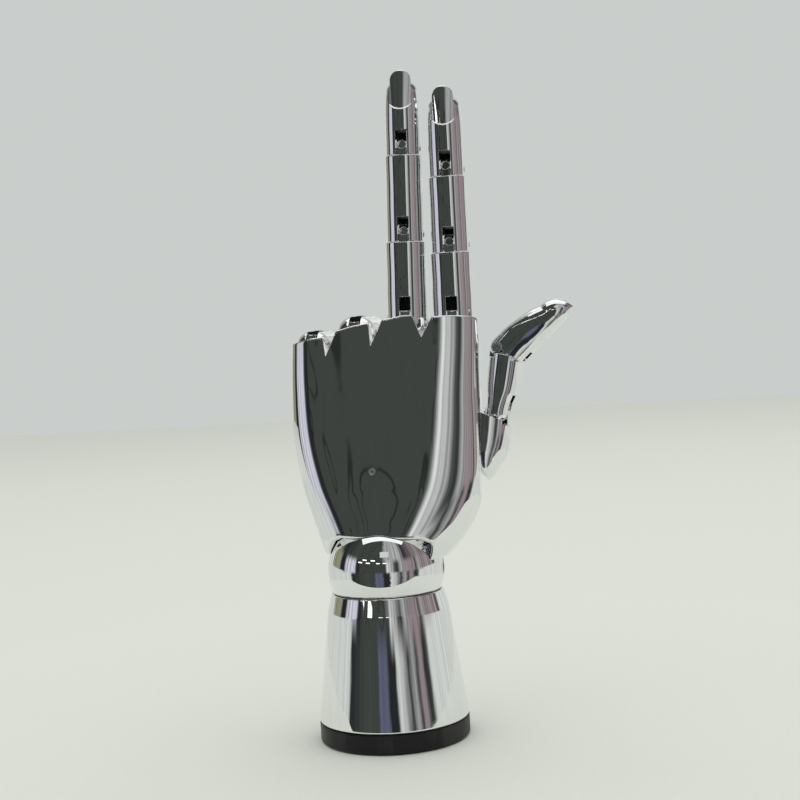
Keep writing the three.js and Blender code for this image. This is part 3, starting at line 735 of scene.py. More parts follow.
def socket(half_wide, half_deep, open_wide, back_wall, up, open_deep=None):
    """The room that a turning shell needs in the one below it, about the pin."""
    a, b = half_wide + SLIDE, half_deep + SLIDE
    floor = -b if open_deep is None else -open_deep - SLIDE
    tools = [block(-a, a, 0, FAR, -b, up), block(-open_wide, open_wide, 0, FAR, floor, up)]
    if not back_wall:
        tools.append(block(-a, a, -FAR, 0, -b, up))
    return join(bar(a, b, -b, up), *tools)


print("room round a turning shell:", SLIDE, "mm")

# %% Hinge plate
NEAR = 20.0
SCOOP_LIP = 0.25
SCOOP_LOW = 0.3
SCOOP_END = 3.2
PLATE_SINK = 0.4
PLATE_HIGH = 0.6
PLATE_STEPS = 16


def lug(half_deep, down, reach=LUG_R, rise=0.0):
    """The plate on the lower shell: round end about the pin, flush with the back, with a scoop in it."""
    half = (SLOT_W - 2 * SLIDE) / 2
    back = half_deep - PLATE_SINK
    arc = [(reach * math.cos(t), reach * math.sin(t)) for t in np.linspace(0, math.pi / 2, PLATE_STEPS)]
    bend = []
    for t in np.linspace(0, 1, PLATE_STEPS)[1:]:
        y = -back * (2 * t * (1 - t) + t * t)
        z = reach * (1 - t) ** 2 + 2 * t * (1 - t) * reach + (PLATE_HIGH + rise) * t * t
        bend.append((y, z))
    edge = [(reach, down), *arc, *bend, (-back, down)]
    points = [(x, y, z) for x in (-half, half) for y, z in edge]
    n = len(edge)
    ends = [tuple(range(n - 1, -1, -1)), tuple(range(n, 2 * n))]
    plate = new_object("lug", points, ends + bands(2, n))
    scoop_r = half - SCOOP_LIP
    scoop = rod_x(scoop_r, -FAR, -SCOOP_END)
    turn = Matrix.Translation((0, 0, SCOOP_LOW + rise + scoop_r)) @ Matrix.Rotation(math.pi / 2, 4, "Z")
    return cut(plate, rod_x(SHANK_R + RUN, -NEAR, NEAR), move(scoop, turn))


print("hinge plate", round(SLOT_W - 2 * SLIDE, 2), "mm thick in a slot of", SLOT_W, "mm")

# %% Round end, slot and screw holes
TALL = 200.0
LEDGE_R = 0.4
LEDGE_IN = 0.3
BLIND_WALL = 1.2
BESIDE_SHELL = 5
DOME_LAP = 0.05
LEAST_R = 1e-3


def turning_dome(half_wide, half_deep):
    """A dome turned about X with the outline of a shell, so that it can turn in its socket."""
    profile = []
    for angle in np.linspace(0, math.pi, SIDES // 2 + 1):
        c, s = math.cos(angle), math.sin(angle)
        x = -half_wide * math.copysign(abs(c) ** (2 / ROUNDNESS), c)
        profile.append([max(half_deep * abs(s) ** (2 / ROUNDNESS), LEAST_R), x])
    made = turned("dome", profile, SIDES)
    made.data.transform(Matrix.Rotation(math.pi / 2, 4, "Y"))
    return made


def hinge_end(body, half_wide, half_deep, slot_top, head_side, lug_r, shoulder, palm_wall):
    """Rounds the lower end about the pin and cuts the slot and the screw holes.

    A shell wider than its round end sits on the collar below with its back."""
    wide = half_wide + BESIDE_SHELL
    dome = turning_dome(half_wide, half_deep)
    round_end = Skin(dome)
    join(dome, block(-wide, wide, -FAR, FAR, -DOME_LAP, TALL))
    if shoulder:
        join(dome, block(-wide, wide, -FAR, 0, SEAT - PIN_RISE, 1))
    combine(body, dome, "INTERSECT")
    blind = half_wide - BLIND_WALL
    recess = half_wide - HEAD_H - SEAT
    ends = (-blind, wide) if head_side > 0 else (-wide, blind)
    heads = (recess, wide) if head_side > 0 else (-wide, -recess)
    slot = block(-SLOT_W / 2, SLOT_W / 2, -FAR, FAR, -FAR, lug_r + SLIDE)
    join(slot, block(-SLOT_W / 2, SLOT_W / 2, -FAR, palm_wall, 0, slot_top))
    cut(body, slot, rod_x(SHANK_R + RUN, *ends), rod_x(HEAD_R + RUN, *heads))
    ledge = rod_x(LEDGE_R, -SLOT_W / 2 - LEDGE_IN, SLOT_W / 2 + LEDGE_IN)
    join(body, move(ledge, Matrix.Translation((0, palm_wall, lug_r + SLIDE + LEDGE_R))))
    return body, round_end


print("screw shank", 2 * SHANK_R, "mm, head", 2 * HEAD_R, "mm")

# %% [markdown]
# ## Fingertips
# The last shell ends in a dome with a nail: a plate with the finger's own curve that stands over the
# pulp, in a shallow pocket that starts at a round cuticle. A nail drawn on with a texture would not
# catch the light at its edges, so it is a real plate. The thumb's nail is only a flat facet.

# %% Dome over the end
DOME_RINGS = 26
DOME_END = 0.995 * math.pi / 2


def dome_rows(row, high, tip_back):
    """Outlines that close a shell over the point tip_back behind its axis."""
    rows = []
    z, left, right, back, front, square, mid = row
    for angle in np.linspace(0, DOME_END, DOME_RINGS)[1:]:
        c = math.cos(angle)
        new_back, new_front, new_mid = (-tip_back + (y + tip_back) * c for y in (-back, front, mid))
        rows.append([z + high * math.sin(angle), left * c, right * c, -new_back, new_front, square, new_mid])
    return rows


print("rings of a fingertip's dome:", DOME_RINGS)

# %% Nail and its pocket
NAIL_OVER = 3
NAIL_LONG = 14.6
NAIL_HALF = 4.2
NAIL_DEPTH = 0.7
NAIL_THICK = 3
NAIL_GAP = 0.2
NAIL_TILT = math.radians(6)
NAIL_ROOT = 1
NAIL_RINGS = 24
POCKET_SINK = 0.6
CUTICLE_R = 8
CUTICLE_SLOPE = 0.9


def nail_plate(long, half, back):
    """A plate with the finger's own curve and a round end, and its uncut skin."""
    low = long - NAIL_LONG - NAIL_ROOT
    rows = []
    for z in np.linspace(low, long, NAIL_RINGS):
        face = back - NAIL_DEPTH - math.tan(NAIL_TILT) * (z - low - NAIL_ROOT)
        rows.append([z, half, half, face, NAIL_THICK - face, ROUNDNESS, 0])
    sheet = skin("nail", [outline(row, around()) for row in rows])
    face = Skin(sheet)
    end = turned("nail_end", [[NAIL_HALF, -NEAR], [NAIL_HALF, NEAR]], SIDES)
    move(end, Matrix.Translation((0, 0, long - NAIL_HALF)) @ Matrix.Rotation(math.pi / 2, 4, "X"))
    join(end, block(-NAIL_HALF, NAIL_HALF, -NEAR, NEAR, low, long - NAIL_HALF))
    return combine(sheet, end, "INTERSECT"), face


def nail_pocket(long, back):
    """The pocket that a nail lies in. Its end slopes, so that the cuticle shows as a bright line."""
    half = NAIL_HALF + NAIL_GAP
    disc = turned("cuticle", [[CUTICLE_R, 0], [CUTICLE_R + NEAR * CUTICLE_SLOPE, NEAR]], SIDES)
    move(disc, Matrix.Translation((0, 0, CUTICLE_R)) @ Matrix.Rotation(math.pi / 2, 4, "X"))
    join(disc, block(-half, half, -NEAR, 0, CUTICLE_R, FAR))
    combine(disc, block(-half, half, -NEAR, 1, -NEAR, FAR), "INTERSECT")
    place = Matrix.Translation((0, NAIL_DEPTH + NAIL_GAP - back + POCKET_SINK, long - NAIL_LONG))
    return move(disc, place @ Matrix.Rotation(-NAIL_TILT, 4, "X"))


print("nail", 2 * NAIL_HALF, "mm wide, standing", NAIL_OVER, "mm over the pulp")

# %% Fingertip
RINGS = 56
PULP_AT = 0.6
PULP_WIDE = 0.98
# Depth to the back and to the palm, and middle, at the pulp and at the end
FINGER_TIP = {"middle": [0.98, 0.99, 0], "across": 0.92, "end": [0.88, 0.9, 0], "dome": 5.5, "back": 0}
THUMB_TIP = {"middle": [1.02, 0.74, 4], "across": 0.9, "end": [1, 0.5, 5.5], "dome": 8.5, "back": 9.6}
THUMB_NAIL_LONG = 17
THUMB_NAIL_DEPTH = 0.5


def fingertip(rows, row, long, wide, tip):
    """The blank of a last shell with its nail, and the skins it lies on."""
    over = NAIL_OVER if tip is FINGER_TIP else 0
    pulp = row(long * PULP_AT, PULP_WIDE, *tip["middle"])
    end = row(long - over - tip["dome"], tip["across"], *tip["end"])
    rows = [*rows, pulp, end]
    stack = [smooth_row(rows, z) for z in np.linspace(rows[0][0], end[0], RINGS)]
    body = skin("tip", [outline(r, around()) for r in stack + dome_rows(end, tip["dome"], tip["back"])])
    outside = Skin(body)
    if not over:
        facet = block(-wide, wide, -NEAR, 0, 0, FAR)
        move(facet, Matrix.Translation((0, THUMB_NAIL_DEPTH - pulp[3], long - THUMB_NAIL_LONG)))
        return cut(body, facet), [outside]
    nail, nail_face = nail_plate(long, wide / 2, pulp[3])
    cut(body, nail_pocket(long, pulp[3]))
    return join(body, nail), [outside, nail_face]


print("dome of a fingertip:", FINGER_TIP["dome"], "mm, of the thumb:", THUMB_TIP["dome"], "mm")

# %% [markdown]
# ## Finger shells
# A shell is a stack of outlines from its round foot to its rim. The foot is a little narrower, to turn
# inside the collar below. The rim's outer corner is rolled in by about a third of a millimetre, which
# gives each joint its bright line. All shells of the hand, also the thumb's, come from one function
# that takes a form with the sizes, so that every hinge fits.

# %% Shell that carries another one
PLATE_ROOT = 3
RIM_ROUND = 0.3
WAIST_AT = 0.55
RIM_STEPS = 6
SOCKET_UP = 30


def collared(rows, row, a, b, long, waist, follow):
    """The blank of a shell that carries another one: rim, room for the next foot, and its lug."""
    shift, mitre = follow.get("shift", 0), follow.get("mitre")
    next_foot = follow["foot"]
    next_round = follow.get("knob", next_foot * DEPTH_RATIO)
    rim = long - PIN_RISE
    across = max(next_foot + SLIDE + COLLAR_WALL, a)
    deep = max(next_foot * DEPTH_RATIO + SLIDE + COLLAR_WALL, b)
    top = [rim, across, across, deep, max(deep, shift + next_round), ROUNDNESS, 0]
    rows = [*rows, row(long * WAIST_AT, waist, waist), top] if waist else [*rows, top]
    stack = [smooth_row(rows, z) for z in np.linspace(rows[0][0], rim - RIM_ROUND, RINGS)]
    for t in np.linspace(0, math.pi / 2, RIM_STEPS)[1:]:
        rolled = inset(top, RIM_ROUND * (1 - math.cos(t)))
        rolled[0] = rim - RIM_ROUND * (1 - math.sin(t))
        stack.append(rolled)
    body = skin("shell", [outline(r, around()) for r in stack])
    outside = Skin(body)
    place = Matrix.Translation((0, shift, long))
    next_deep = next_round if mitre else follow["wide"] / 2 * DEPTH_RATIO
    open_wide = next_foot + SLIDE if mitre else NEAR
    room = socket(next_foot, next_round, open_wide, not mitre, SOCKET_UP, next_deep)
    cut(body, move(room, place))
    if mitre:
        over = move(block(-FAR, FAR, -FAR, 0, -SLIDE, FAR), Matrix.Rotation(mitre, 4, "X"))
        cut(body, move(over, place))
    join(body, move(lug(next_round, -next_deep - PLATE_ROOT, follow.get("lug_r", LUG_R)), place))
    return body, [outside]


print("rings on a shell:", RINGS, "rim rolled in by", RIM_ROUND, "mm")

# %% Shell about its pin
# How far down from a slot's top the painted shade reaches.
SHADE_PAINTED_HIGH = 3.0
WAIST = 0.985
FOOT_SHARE = 0.3
TOUCH = 0.02
LEDGE_TOUCH = 0.05
SIDEWAYS = 0.5
PALMWARDS = 0.3


def shell(form, follow=None):
    """One shell about its own pin. follow holds the form of the shell that it carries."""
    shift, foot = form.get("shift", 0), form["foot"]
    a = form["wide"] / 2
    b = form["deep"] / 2 if "deep" in form else a * DEPTH_RATIO
    knob = form.get("knob", foot * DEPTH_RATIO)
    foot_back = form.get("foot_back", b + shift)

    def row(z, across, deep, palm_deep=None, mid=0):
        """An outline at height z, with shares of the shell's width and depth."""
        front = b * (deep if palm_deep is None else palm_deep) - shift
        return [z, a * across, a * across, b * deep + shift, front, ROUNDNESS, -mid]

    low, long = form["low"], form["long"]
    rows = [[z, a, a, foot_back, form.get("knob", b), ROUNDNESS, 0] for z in (-knob, low * FOOT_SHARE)]
    rows.append(row(low, 1, 1))
    if follow is None:
        body, skins = fingertip(rows, row, long, form["wide"], form.get("tip", FINGER_TIP))
    else:
        body, skins = collared(rows, row, a, b, long, form.get("waist", WAIST), follow)
    lug_r = form.get("lug_r", LUG_R)
    ends = form["slot_top"], form["head_side"], lug_r, foot < a, b - shift - PALM_WALL
    body, round_end = hinge_end(body, foot, knob, *ends)
    if follow is None and "mitre" in form:
        cut(body, move(block(-FAR, FAR, -FAR, 0, -FAR, 0), Matrix.Rotation(-form["mitre"], 4, "X")))
    polish(body, *skins, round_end)
    # Faces inside a slot, down from its top, take the near-black finish that paints the slot's shade.
    ledge_z = lug_r + SLIDE + LEDGE_R
    for face in body.data.polygons:
        x, _, z = face.center
        in_slot = abs(x) < SLOT_W / 2 + TOUCH and -SHADE_PAINTED_HIGH < z - form["slot_top"] < TOUCH
        on_ledge = abs(z - ledge_z) < LEDGE_R + LEDGE_TOUCH and abs(face.normal.x) < SIDEWAYS
        face.material_index = int(in_slot and face.normal.y < PALMWARDS and not on_ledge)
    return body


print("slots stay bare from their top down for", SHADE_PAINTED_HIGH, "mm")

# %% [markdown]
# ## Screws
# Cross-head screws hold the hinges: a shank and a slightly domed head with a rounded corner and a
# cross pressed in. They are turned and then cut, and have no thread, because it never shows.

# %% Screws
CROSS_W = 0.6
CROSS_L = 2.4
CROSS_H = 0.7
HEAD_SINK = 0.15
HEAD_ROUND = 0.35
HEAD_DOME = 0.25
HEAD_CORNER = (0.5, 1.0, 1.57)
DOME_DROP = 0.03
SHANK_CHAMFER = 0.2


def make_screw(half_wide, head_side, scale=1.0, shank_from=None):
    """A screw along X, with its head a little below the face that half_wide gives."""
    face = half_wide - HEAD_SINK
    start = -(half_wide - BLIND_WALL - SEAT) if shank_from is None else shank_from
    under = face - HEAD_H * scale
    shank, head = SHANK_R * scale, HEAD_R * scale
    profile = [[shank - SHANK_CHAMFER, start], [shank, start + SHANK_CHAMFER], [shank, under]]
    profile += [[head, under], [head, face - HEAD_ROUND]]
    for t in HEAD_CORNER:
        r = head - HEAD_ROUND + HEAD_ROUND * math.cos(t)
        profile.append([r, face - HEAD_ROUND + HEAD_DOME * math.sin(t)])
    profile += [[head / 2, face - DOME_DROP], [AXIS_R, face]]
    screw = turned("screw", profile, ROD_SIDES)
    screw.data.transform(Matrix.Rotation(math.pi / 2, 4, "Y"))
    deep, wide, long = face - CROSS_H, CROSS_W * scale / 2, CROSS_L * scale / 2
    cross = block(deep, face + 1, -long, long, -wide, wide)
    cut(screw, join(cross, block(deep, face + 1, -wide, wide, -long, long)))
    if head_side < 0:
        screw.data.transform(Matrix.Rotation(math.pi, 4, "Z"))
    return polish(screw)


pivot = make_screw(BALL_R - PIVOT_SINK + HEAD_SINK, 1, PIVOT_SCALE, -PIVOT_HALF + SEAT)
seat_screw(pivot, "wrist_pivot_screw", "wrist", BALL_FRAME)
print("pivot screw off its solid by", fits("wrist_pivot"), "mm")

# %% [markdown]
# ## Fingers
# Each shell's frame hangs on the one below it: up by the length to the next pin, then turned about
# the pin by the bend. Walking the chain from the palm gives all twelve. Parenting objects would do the
# same, but the frame already moves the bodies, so each shell is simply put in its place.

# %% Sizes of a finger's shells
LOW_OVER_SLOT = 2


def knuckle_place(start, finger):
    """The place of a finger's knuckle pin, from the frame of the palm."""
    place = start @ Matrix.Translation((finger["at"], 0, finger["rim"] - KNUCKLE_PIN_DROP))
    return place @ Matrix.Rotation(math.radians(finger["lean"]), 4, "Y")


def finger_forms(name):
    """The sizes of a finger's three shells. Each foot fits in the collar of the shell below."""
    wide = WIDE[name]
    forms = []
    for i in range(3):
        foot = min(wide[i] / 2, wide[i - 1] / 2 - SLIDE - COLLAR_WALL) if i else wide[0] / 2
        seam = -PIN_RISE if i else KNUCKLE_PIN_DROP
        slot_top = seam + (SLOT_RISE if i else KNUCKLE_SLOT_RISE)
        long = seam + LONG[name][i] + (PIN_RISE if i < 2 else 0)
        forms.append({"wide": wide[i], "foot": foot, "long": long, "low": slot_top + LOW_OVER_SLOT})
        forms[i].update(slot_top=slot_top, head_side=1)
    return forms


print("lengths from pin to pin, index:", [round(form["long"], 1) for form in finger_forms("index")])

# %% Fingers
def make_finger(name):
    """A finger's shells and screws, from the knuckle to the tip."""
    forms = finger_forms(name)
    place = knuckle_place(PALM_FRAME, FINGERS[name])
    for i, part in enumerate(PARTS):
        body = f"{name}_{part}"
        place = place @ Matrix.Rotation(-math.radians(FINGERS[name]["bend"][i]), 4, "X")
        seat_plated(shell(forms[i], forms[i + 1] if i < 2 else None), body, place)
        seat_screw(make_screw(forms[i]["foot"], 1), f"{name}_{SCREWS[i]}_screw", body, place)
        place = place @ Matrix.Translation((0, 0, forms[i]["long"]))


for finger in FINGERS:
    make_finger(finger)
    print("off their solids in mm:", fits(finger))

# %% [markdown]
# ## Thumb
# The thumb has the same kind of hinge, turned a quarter round, so its screws face the viewer. Its base
# is an egg with a flat side that swivels on the palm, cut slantwise on top. The egg is a stack of
# outlines like the shells, because a scaled sphere doesn't have its narrow foot and wide top.

# %% Thumb base
THUMB_FACE_X = 38.2
THUMB_Y = 3
THUMB_SWIVEL_Z = 48
THUMB_PIVOT_R = 3
THUMB_PIVOT_L = 15
THUMB_AXIS_X = 44.9
THUMB_SEAM_Z = 60.2
THUMB_WIDE = [12, 12]
THUMB_FOOT_R = 4.8
THUMB_BASE_BOTTOM = 35.5
THUMB_BASE_SLANT = math.radians(22)
THUMB_CHEEK = 2.25
THUMB_BASE_MID = 3
THUMB_TURN = math.radians(78)
THUMB_PLATE_ROOT = 2
EGG_HIGH = 15
EGG_OVER = 3
EGG_RINGS = 70
EGG_POWER = 1.5
CLEAR = 60


def make_thumb_base():
    """The egg, with its flat side to the palm and a slantwise top."""
    high = THUMB_SEAM_Z - THUMB_SWIVEL_Z
    low = THUMB_BASE_BOTTOM - THUMB_SWIVEL_Z
    axis = THUMB_AXIS_X - THUMB_FACE_X
    reach = axis + THUMB_FOOT_R + SLIDE + COLLAR_WALL
    wide = THUMB_WIDE[0] / 2 + SLIDE + THUMB_CHEEK
    # Height, reach to the palm, outwards, back and front, squareness, middle
    rows = [
        [low, 0.6, 0.6, 1.5, 1.5, 2, 0],
        [low + 2.5, 1.8, 3.7, 5.8, 5.8, 2, 0],
        [low + 9, 3.4, reach - 3.4, wide - 0.6, wide - 0.6, 2.1, 0],
        [low + EGG_HIGH, 6, reach - 1, wide - 0.2, wide - 0.2, 2.3, 0],
        [high + EGG_OVER, 6, reach, wide, wide, 2.6, 0],
    ]
    rings = []
    for z in low + (high + EGG_OVER - low) * np.linspace(0, 1, EGG_RINGS) ** EGG_POWER:
        aside = THUMB_BASE_MID * (1 - min((z - low) / EGG_HIGH, 1)) ** 2
        rings.append(outline(smooth_row(rows, z), around(ROUND_SIDES)) + [aside, 0, 0])
    egg = skin("egg", rings)
    outside = Skin(egg)
    turn = Matrix.Translation((axis, 0, high + PIN_RISE)) @ Matrix.Rotation(THUMB_TURN, 4, "Z")
    top = move(block(-FAR, FAR, -FAR, FAR, 0, FAR), Matrix.Rotation(THUMB_BASE_SLANT, 4, "Y"))
    move(top, Matrix.Translation((axis, 0, high)))
    half = THUMB_WIDE[0] / 2
    room = move(socket(half, THUMB_FOOT_R, half + SLIDE, False, SOCKET_UP), turn)
    plate = move(lug(THUMB_FOOT_R, -THUMB_FOOT_R - THUMB_PLATE_ROOT), turn)
    cut(egg, top, room)
    join(egg, plate)
    flat = block(-FAR, SEAT, -FAR, FAR, -CLEAR, CLEAR)
    cut(egg, flat, rod_x(THUMB_PIVOT_R + RUN, -1, THUMB_PIVOT_L / 2 - 2 + SEAT))
    return polish(egg, outside)


swivel = PALM_FRAME @ Matrix.Translation((THUMB_FACE_X, THUMB_Y, THUMB_SWIVEL_Z))
seat_plated(make_thumb_base(), "thumb_base", swivel)
print("thumb base off its solid by", fits("thumb_base"), "mm")

# %% Sizes of the thumb's shells
THUMB_LONG = [25.5, 31.8]
THUMB_DEEP = [12.4, 14.7]
THUMB_MITRE = [math.radians(22), math.radians(12)]
THUMB_PIN_SHIFT = 3.4
THUMB_KNOB_R = 4
THUMB_LUG_R = 3.4
KNOB_OUT = 0.6


def thumb_form(i, knob, head_side, **more):
    """The sizes of one thumb shell."""
    form = {"wide": THUMB_WIDE[i], "foot": THUMB_WIDE[i] / 2, "deep": THUMB_DEEP[i], "long": THUMB_LONG[i]}
    form.update(knob=knob, low=SLOT_RISE, slot_top=SLOT_RISE - PIN_RISE, head_side=head_side)
    return {**form, **more}


thumb_low = thumb_form(0, THUMB_FOOT_R, 1, foot_back=THUMB_FOOT_R, waist=None)
thumb_high = thumb_form(1, THUMB_KNOB_R, -1, lug_r=THUMB_LUG_R, tip=THUMB_TIP)
thumb_socket = {**thumb_high, "shift": THUMB_PIN_SHIFT, "mitre": THUMB_MITRE[0]}
thumb_high.update(shift=THUMB_DEEP[1] / 2 - THUMB_KNOB_R + KNOB_OUT, mitre=THUMB_MITRE[1])
print("thumb's upper pin lies", round(thumb_high["shift"], 2), "mm in front of the middle of its shell")

# %% Thumb's shells in their places
THUMB_BEND = [math.radians(-10), math.radians(-35)]
thumb_rise = THUMB_SEAM_Z + PIN_RISE - THUMB_SWIVEL_Z
knuckle = swivel @ Matrix.Translation((THUMB_AXIS_X - THUMB_FACE_X, 0, thumb_rise))
knuckle = knuckle @ Matrix.Rotation(THUMB_TURN, 4, "Z") @ Matrix.Rotation(-THUMB_BEND[0], 4, "X")
joint = knuckle @ Matrix.Translation((0, THUMB_PIN_SHIFT, THUMB_LONG[0]))
joint = joint @ Matrix.Rotation(-THUMB_BEND[1], 4, "X")
seat_plated(shell(thumb_low, thumb_socket), "thumb_proximal", knuckle)
seat_screw(make_screw(THUMB_WIDE[0] / 2, 1), "thumb_low_screw", "thumb_proximal", knuckle)
seat_plated(shell(thumb_high), "thumb_distal", joint)
seat_screw(make_screw(THUMB_WIDE[1] / 2, -1), "thumb_tip_screw", "thumb_distal", joint)
print("thumb off its solids by", fits("thumb"), "mm")

# %% [markdown]
# ## Palm
# The palm is one moulding. Its knuckle rim rises and falls with notches between the fingers, and its
# lower edge is a flat arch over the ball. Both edges depend only on the place across the hand, so
# each column of the skin simply starts and ends at its own height. That keeps the rolled edges clean,
# which a cut through the skin would not.

# %% Edges of the palm
# From the little finger: shift across, reach to either side, depth
NOTCHES = [(-2, 1.1, 4.2, 7), (-3, 0.8, 4.5, 7.7), (-2.5, 3.6, 4.4, 8.2)]
ARCH_TOP = 13.6
ARCH_HALF = 18.4
ARCH_FOOT = (24, 5)
PALM_LOW = 4.8
# How far the rim drops at its two ends, and at the two corners over a finger
RIM_ENDS = (4, 7)
RIM_CORNERS = (0.5, 0.4)


def rim_points():
    """The rim from the little finger to the index: (place across, height)."""
    order = sorted(FINGERS, key=lambda name: FINGERS[name]["at"])
    points = [(-CLEAR, FINGERS["little"]["rim"] - RIM_ENDS[0])]
    places = [FINGERS[name]["at"] for name in order]
    rims = [FINGERS[name]["rim"] for name in order]
    notches = [(a + b) / 2 + notch[0] for a, b, notch in zip(places, places[1:], NOTCHES)]
    for i, name in enumerate(order):
        at, rim, slope, half = places[i], rims[i], FINGERS[name]["slope"], WIDE[name][0] / 2
        start = notches[i - 1] + NOTCHES[i - 1][2] if i else at - half
        end = notches[i] - NOTCHES[i][1] if i < 3 else at + half - 1
        points += [(start, rim + slope * (start - at) - RIM_CORNERS[0]), (at, rim)]
        points.append((end, rim + slope * (end - at) - RIM_CORNERS[1]))
        if i < 3:
            points.append((notches[i], min(rim, rims[i + 1]) - NOTCHES[i][3]))
    return points + [(CLEAR, FINGERS["index"]["rim"] - RIM_ENDS[1])]


def arch_points():
    """The lower edge from side to side: (place across, height)."""
    right = [(ARCH_HALF - 2, ARCH_TOP), (ARCH_HALF + 1, ARCH_TOP - 1.4), ARCH_FOOT, (CLEAR, PALM_LOW)]
    return [(-x, z) for x, z in reversed(right)] + right


print("rim from", [round(v, 1) for v in rim_points()[1]], "arch top at", ARCH_TOP)

# %% Columns of the palm's skin
PALM_COLUMNS = 150
RIM_NEAR, ARCH_NEAR = 98.0, 12.0
EDGE_SHARE = 0.97
SAME_ANGLE = 0.006


def column_angle(row, x):
    """The angle of the outline's point at the place x across."""
    reach = row[2] if x > 0 else row[1]
    return math.acos(math.copysign((abs(x) / reach) ** (row[5] / 2), x))


def palm_angles(rim, arch):
    """Angles round half the palm, with one at each corner of the rim and of the arch."""
    half = list(np.linspace(0, math.pi, PALM_COLUMNS))
    for corners, z in ((rim, RIM_NEAR), (arch, ARCH_NEAR)):
        row = smooth_row(PALM_SECTIONS, z)
        for x, _ in corners:
            if abs(x) < EDGE_SHARE * min(row[1], row[2]):
                exact = column_angle(row, x)
                half = [h for h in half if abs(h - exact) > SAME_ANGLE] + [exact]
    half = np.array(sorted(half))
    return np.concatenate([half, -half[-2:0:-1]])


print("columns round the palm:", len(palm_angles(rim_points(), arch_points())))

# %% Skin of the palm
PALM_ROUND = 0.6
LIP_ROUND = 1.4
PALM_RINGS = 110
ARCH_GUESS = 10.0
SETTLE_STEPS = 5
FINE_ROWS = 400
LIP_STEPS = 11
ROUND_STEPS = 7


def make_palm():
    """The uncut palm: each column of its skin runs from the arch to the rim."""
    rim, arch = rim_points(), arch_points()
    angles = palm_angles(rim, arch)
    heights = np.linspace(PALM_LOW, PALM_SECTIONS[-1][0], FINE_ROWS)
    rows = np.array([smooth_row(PALM_SECTIONS, z) for z in heights])
    c, s = np.cos(angles), np.sin(angles)

    def at(z, by=0.0):
        """The skin's point in each column at its own height z, drawn in by some depth."""
        left, right, back, front, square = (np.interp(z, rows[:, 0], rows[:, k]) for k in range(1, 6))
        x = (np.where(c > 0, right, left) - by) * np.sign(c) * np.abs(c) ** (2 / square)
        y = (np.where(s > 0, front, back) - by) * np.sign(s) * np.abs(s) ** (2 / square)
        return np.stack([x, y, z], 1)

    top, low = np.full(len(angles), RIM_NEAR), np.full(len(angles), ARCH_GUESS)
    for _ in range(SETTLE_STEPS):
        top = np.interp(at(top)[:, 0], *zip(*rim))
        low = np.interp(at(low)[:, 0], *zip(*arch))
    rings = []
    for t in np.linspace(math.pi / 2, 0, LIP_STEPS)[:-1]:
        rings.append(at(low + LIP_ROUND * (1 - math.sin(t)), LIP_ROUND * (1 - math.cos(t))))
    for u in np.linspace(0, 1, PALM_RINGS):
        rings.append(at(low + LIP_ROUND + (top - low - LIP_ROUND - PALM_ROUND) * u))
    for t in np.linspace(0, math.pi / 2, ROUND_STEPS)[1:]:
        rings.append(at(top - PALM_ROUND * (1 - math.sin(t)), PALM_ROUND * (1 - math.cos(t))))
    count, half = len(angles), len(angles) // 2
    faces = bands(len(rings), count)
    last = (len(rings) - 1) * count
    for i in range(half):
        corners = list(dict.fromkeys([i, i + 1, (count - i - 1) % count, (count - i) % count]))
        faces.append(tuple(last + k for k in corners))
        faces.append(tuple(reversed(corners)))
    return new_object("palm", np.concatenate(rings), faces)


palm = make_palm()
palm_skin = Skin(palm)
print("uncut palm has", len(palm.data.polygons), "faces")

# %% Sockets and hinge plates of the palm
KNUCKLE_PLATE_RISE = 4.2
MARK_R = 1.2
MARK_AT = (-3, 39.8)
TONGUE_TOP = 44
MARK_CORE = 0.6
MARK_LONG = 10
MARK_OUT = 24
KNUCKLE_OPEN = 2.2
THUMB_FLAT_LOW = 20


def palm_tools():
    """What is cut out of the palm, and the hinge plates that are added."""
    tools, lugs = [], []
    for name, finger in FINGERS.items():
        half = WIDE[name][0] / 2
        deep = half * DEPTH_RATIO
        place = knuckle_place(Matrix.Identity(4), finger)
        tools.append(move(socket(half, deep, half + KNUCKLE_OPEN, True, FAR), place))
        lugs.append(move(lug(deep, -deep - PLATE_ROOT, rise=KNUCKLE_PLATE_RISE), place))
    tools.append(sphere(BALL_R + SLIDE))
    side, deep = TONGUE_T / 2 + SEAT, TONGUE_HALF + SEAT
    pocket = block(-side, side, -deep, deep, 0, TONGUE_TOP + SEAT)
    tools.append(move(pocket, Matrix.Rotation(-PALM_LEAN, 4, "Y")))
    groove = turned("groove", [[MARK_R, -MARK_LONG], [MARK_R, MARK_LONG]], ROD_SIDES)
    core_r, core_end = MARK_CORE * MARK_R, MARK_LONG + 1
    cut(groove, turned("core", [[core_r, -core_end], [core_r, core_end]], ROD_SIDES))
    upright = Matrix.Rotation(math.pi / 2, 4, "X")
    tools.append(move(groove, Matrix.Translation((MARK_AT[0], -MARK_OUT, MARK_AT[1])) @ upright))
    tools.append(block(THUMB_FACE_X, 2 * FAR, -FAR, FAR, THUMB_FLAT_LOW, TALL))
    bore = rod_x(THUMB_PIVOT_R + RUN, THUMB_FACE_X - THUMB_PIVOT_L / 2 - SEAT, CLEAR)
    tools.append(move(bore, Matrix.Translation((0, THUMB_Y, THUMB_SWIVEL_Z))))
    return tools, lugs


palm_cuts, palm_lugs = palm_tools()
cut(palm, *palm_cuts)
join(palm, *palm_lugs)
polish(palm, palm_skin)
seat(palm, "palm_shell", "palm", chrome, PALM_FRAME)
print("palm off its solid by", fits("palm"), "mm, faces:", len(palm.data.polygons))

# %% [markdown]
# ## What stays as it is
# The bolt, washer, tongue and pivot pin are inside, so their solids stay and only take a finish.

# %% Inner pieces
INNER = {"wrist_bolt": steel, "wrist_tongue": steel, "thumb_pivot_pin": steel, "friction_washer": rubber}
for name, material in INNER.items():
    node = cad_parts[name]
    node.data.materials.clear()
    node.data.materials.append(material)
print("solids that stay:", list(INNER))

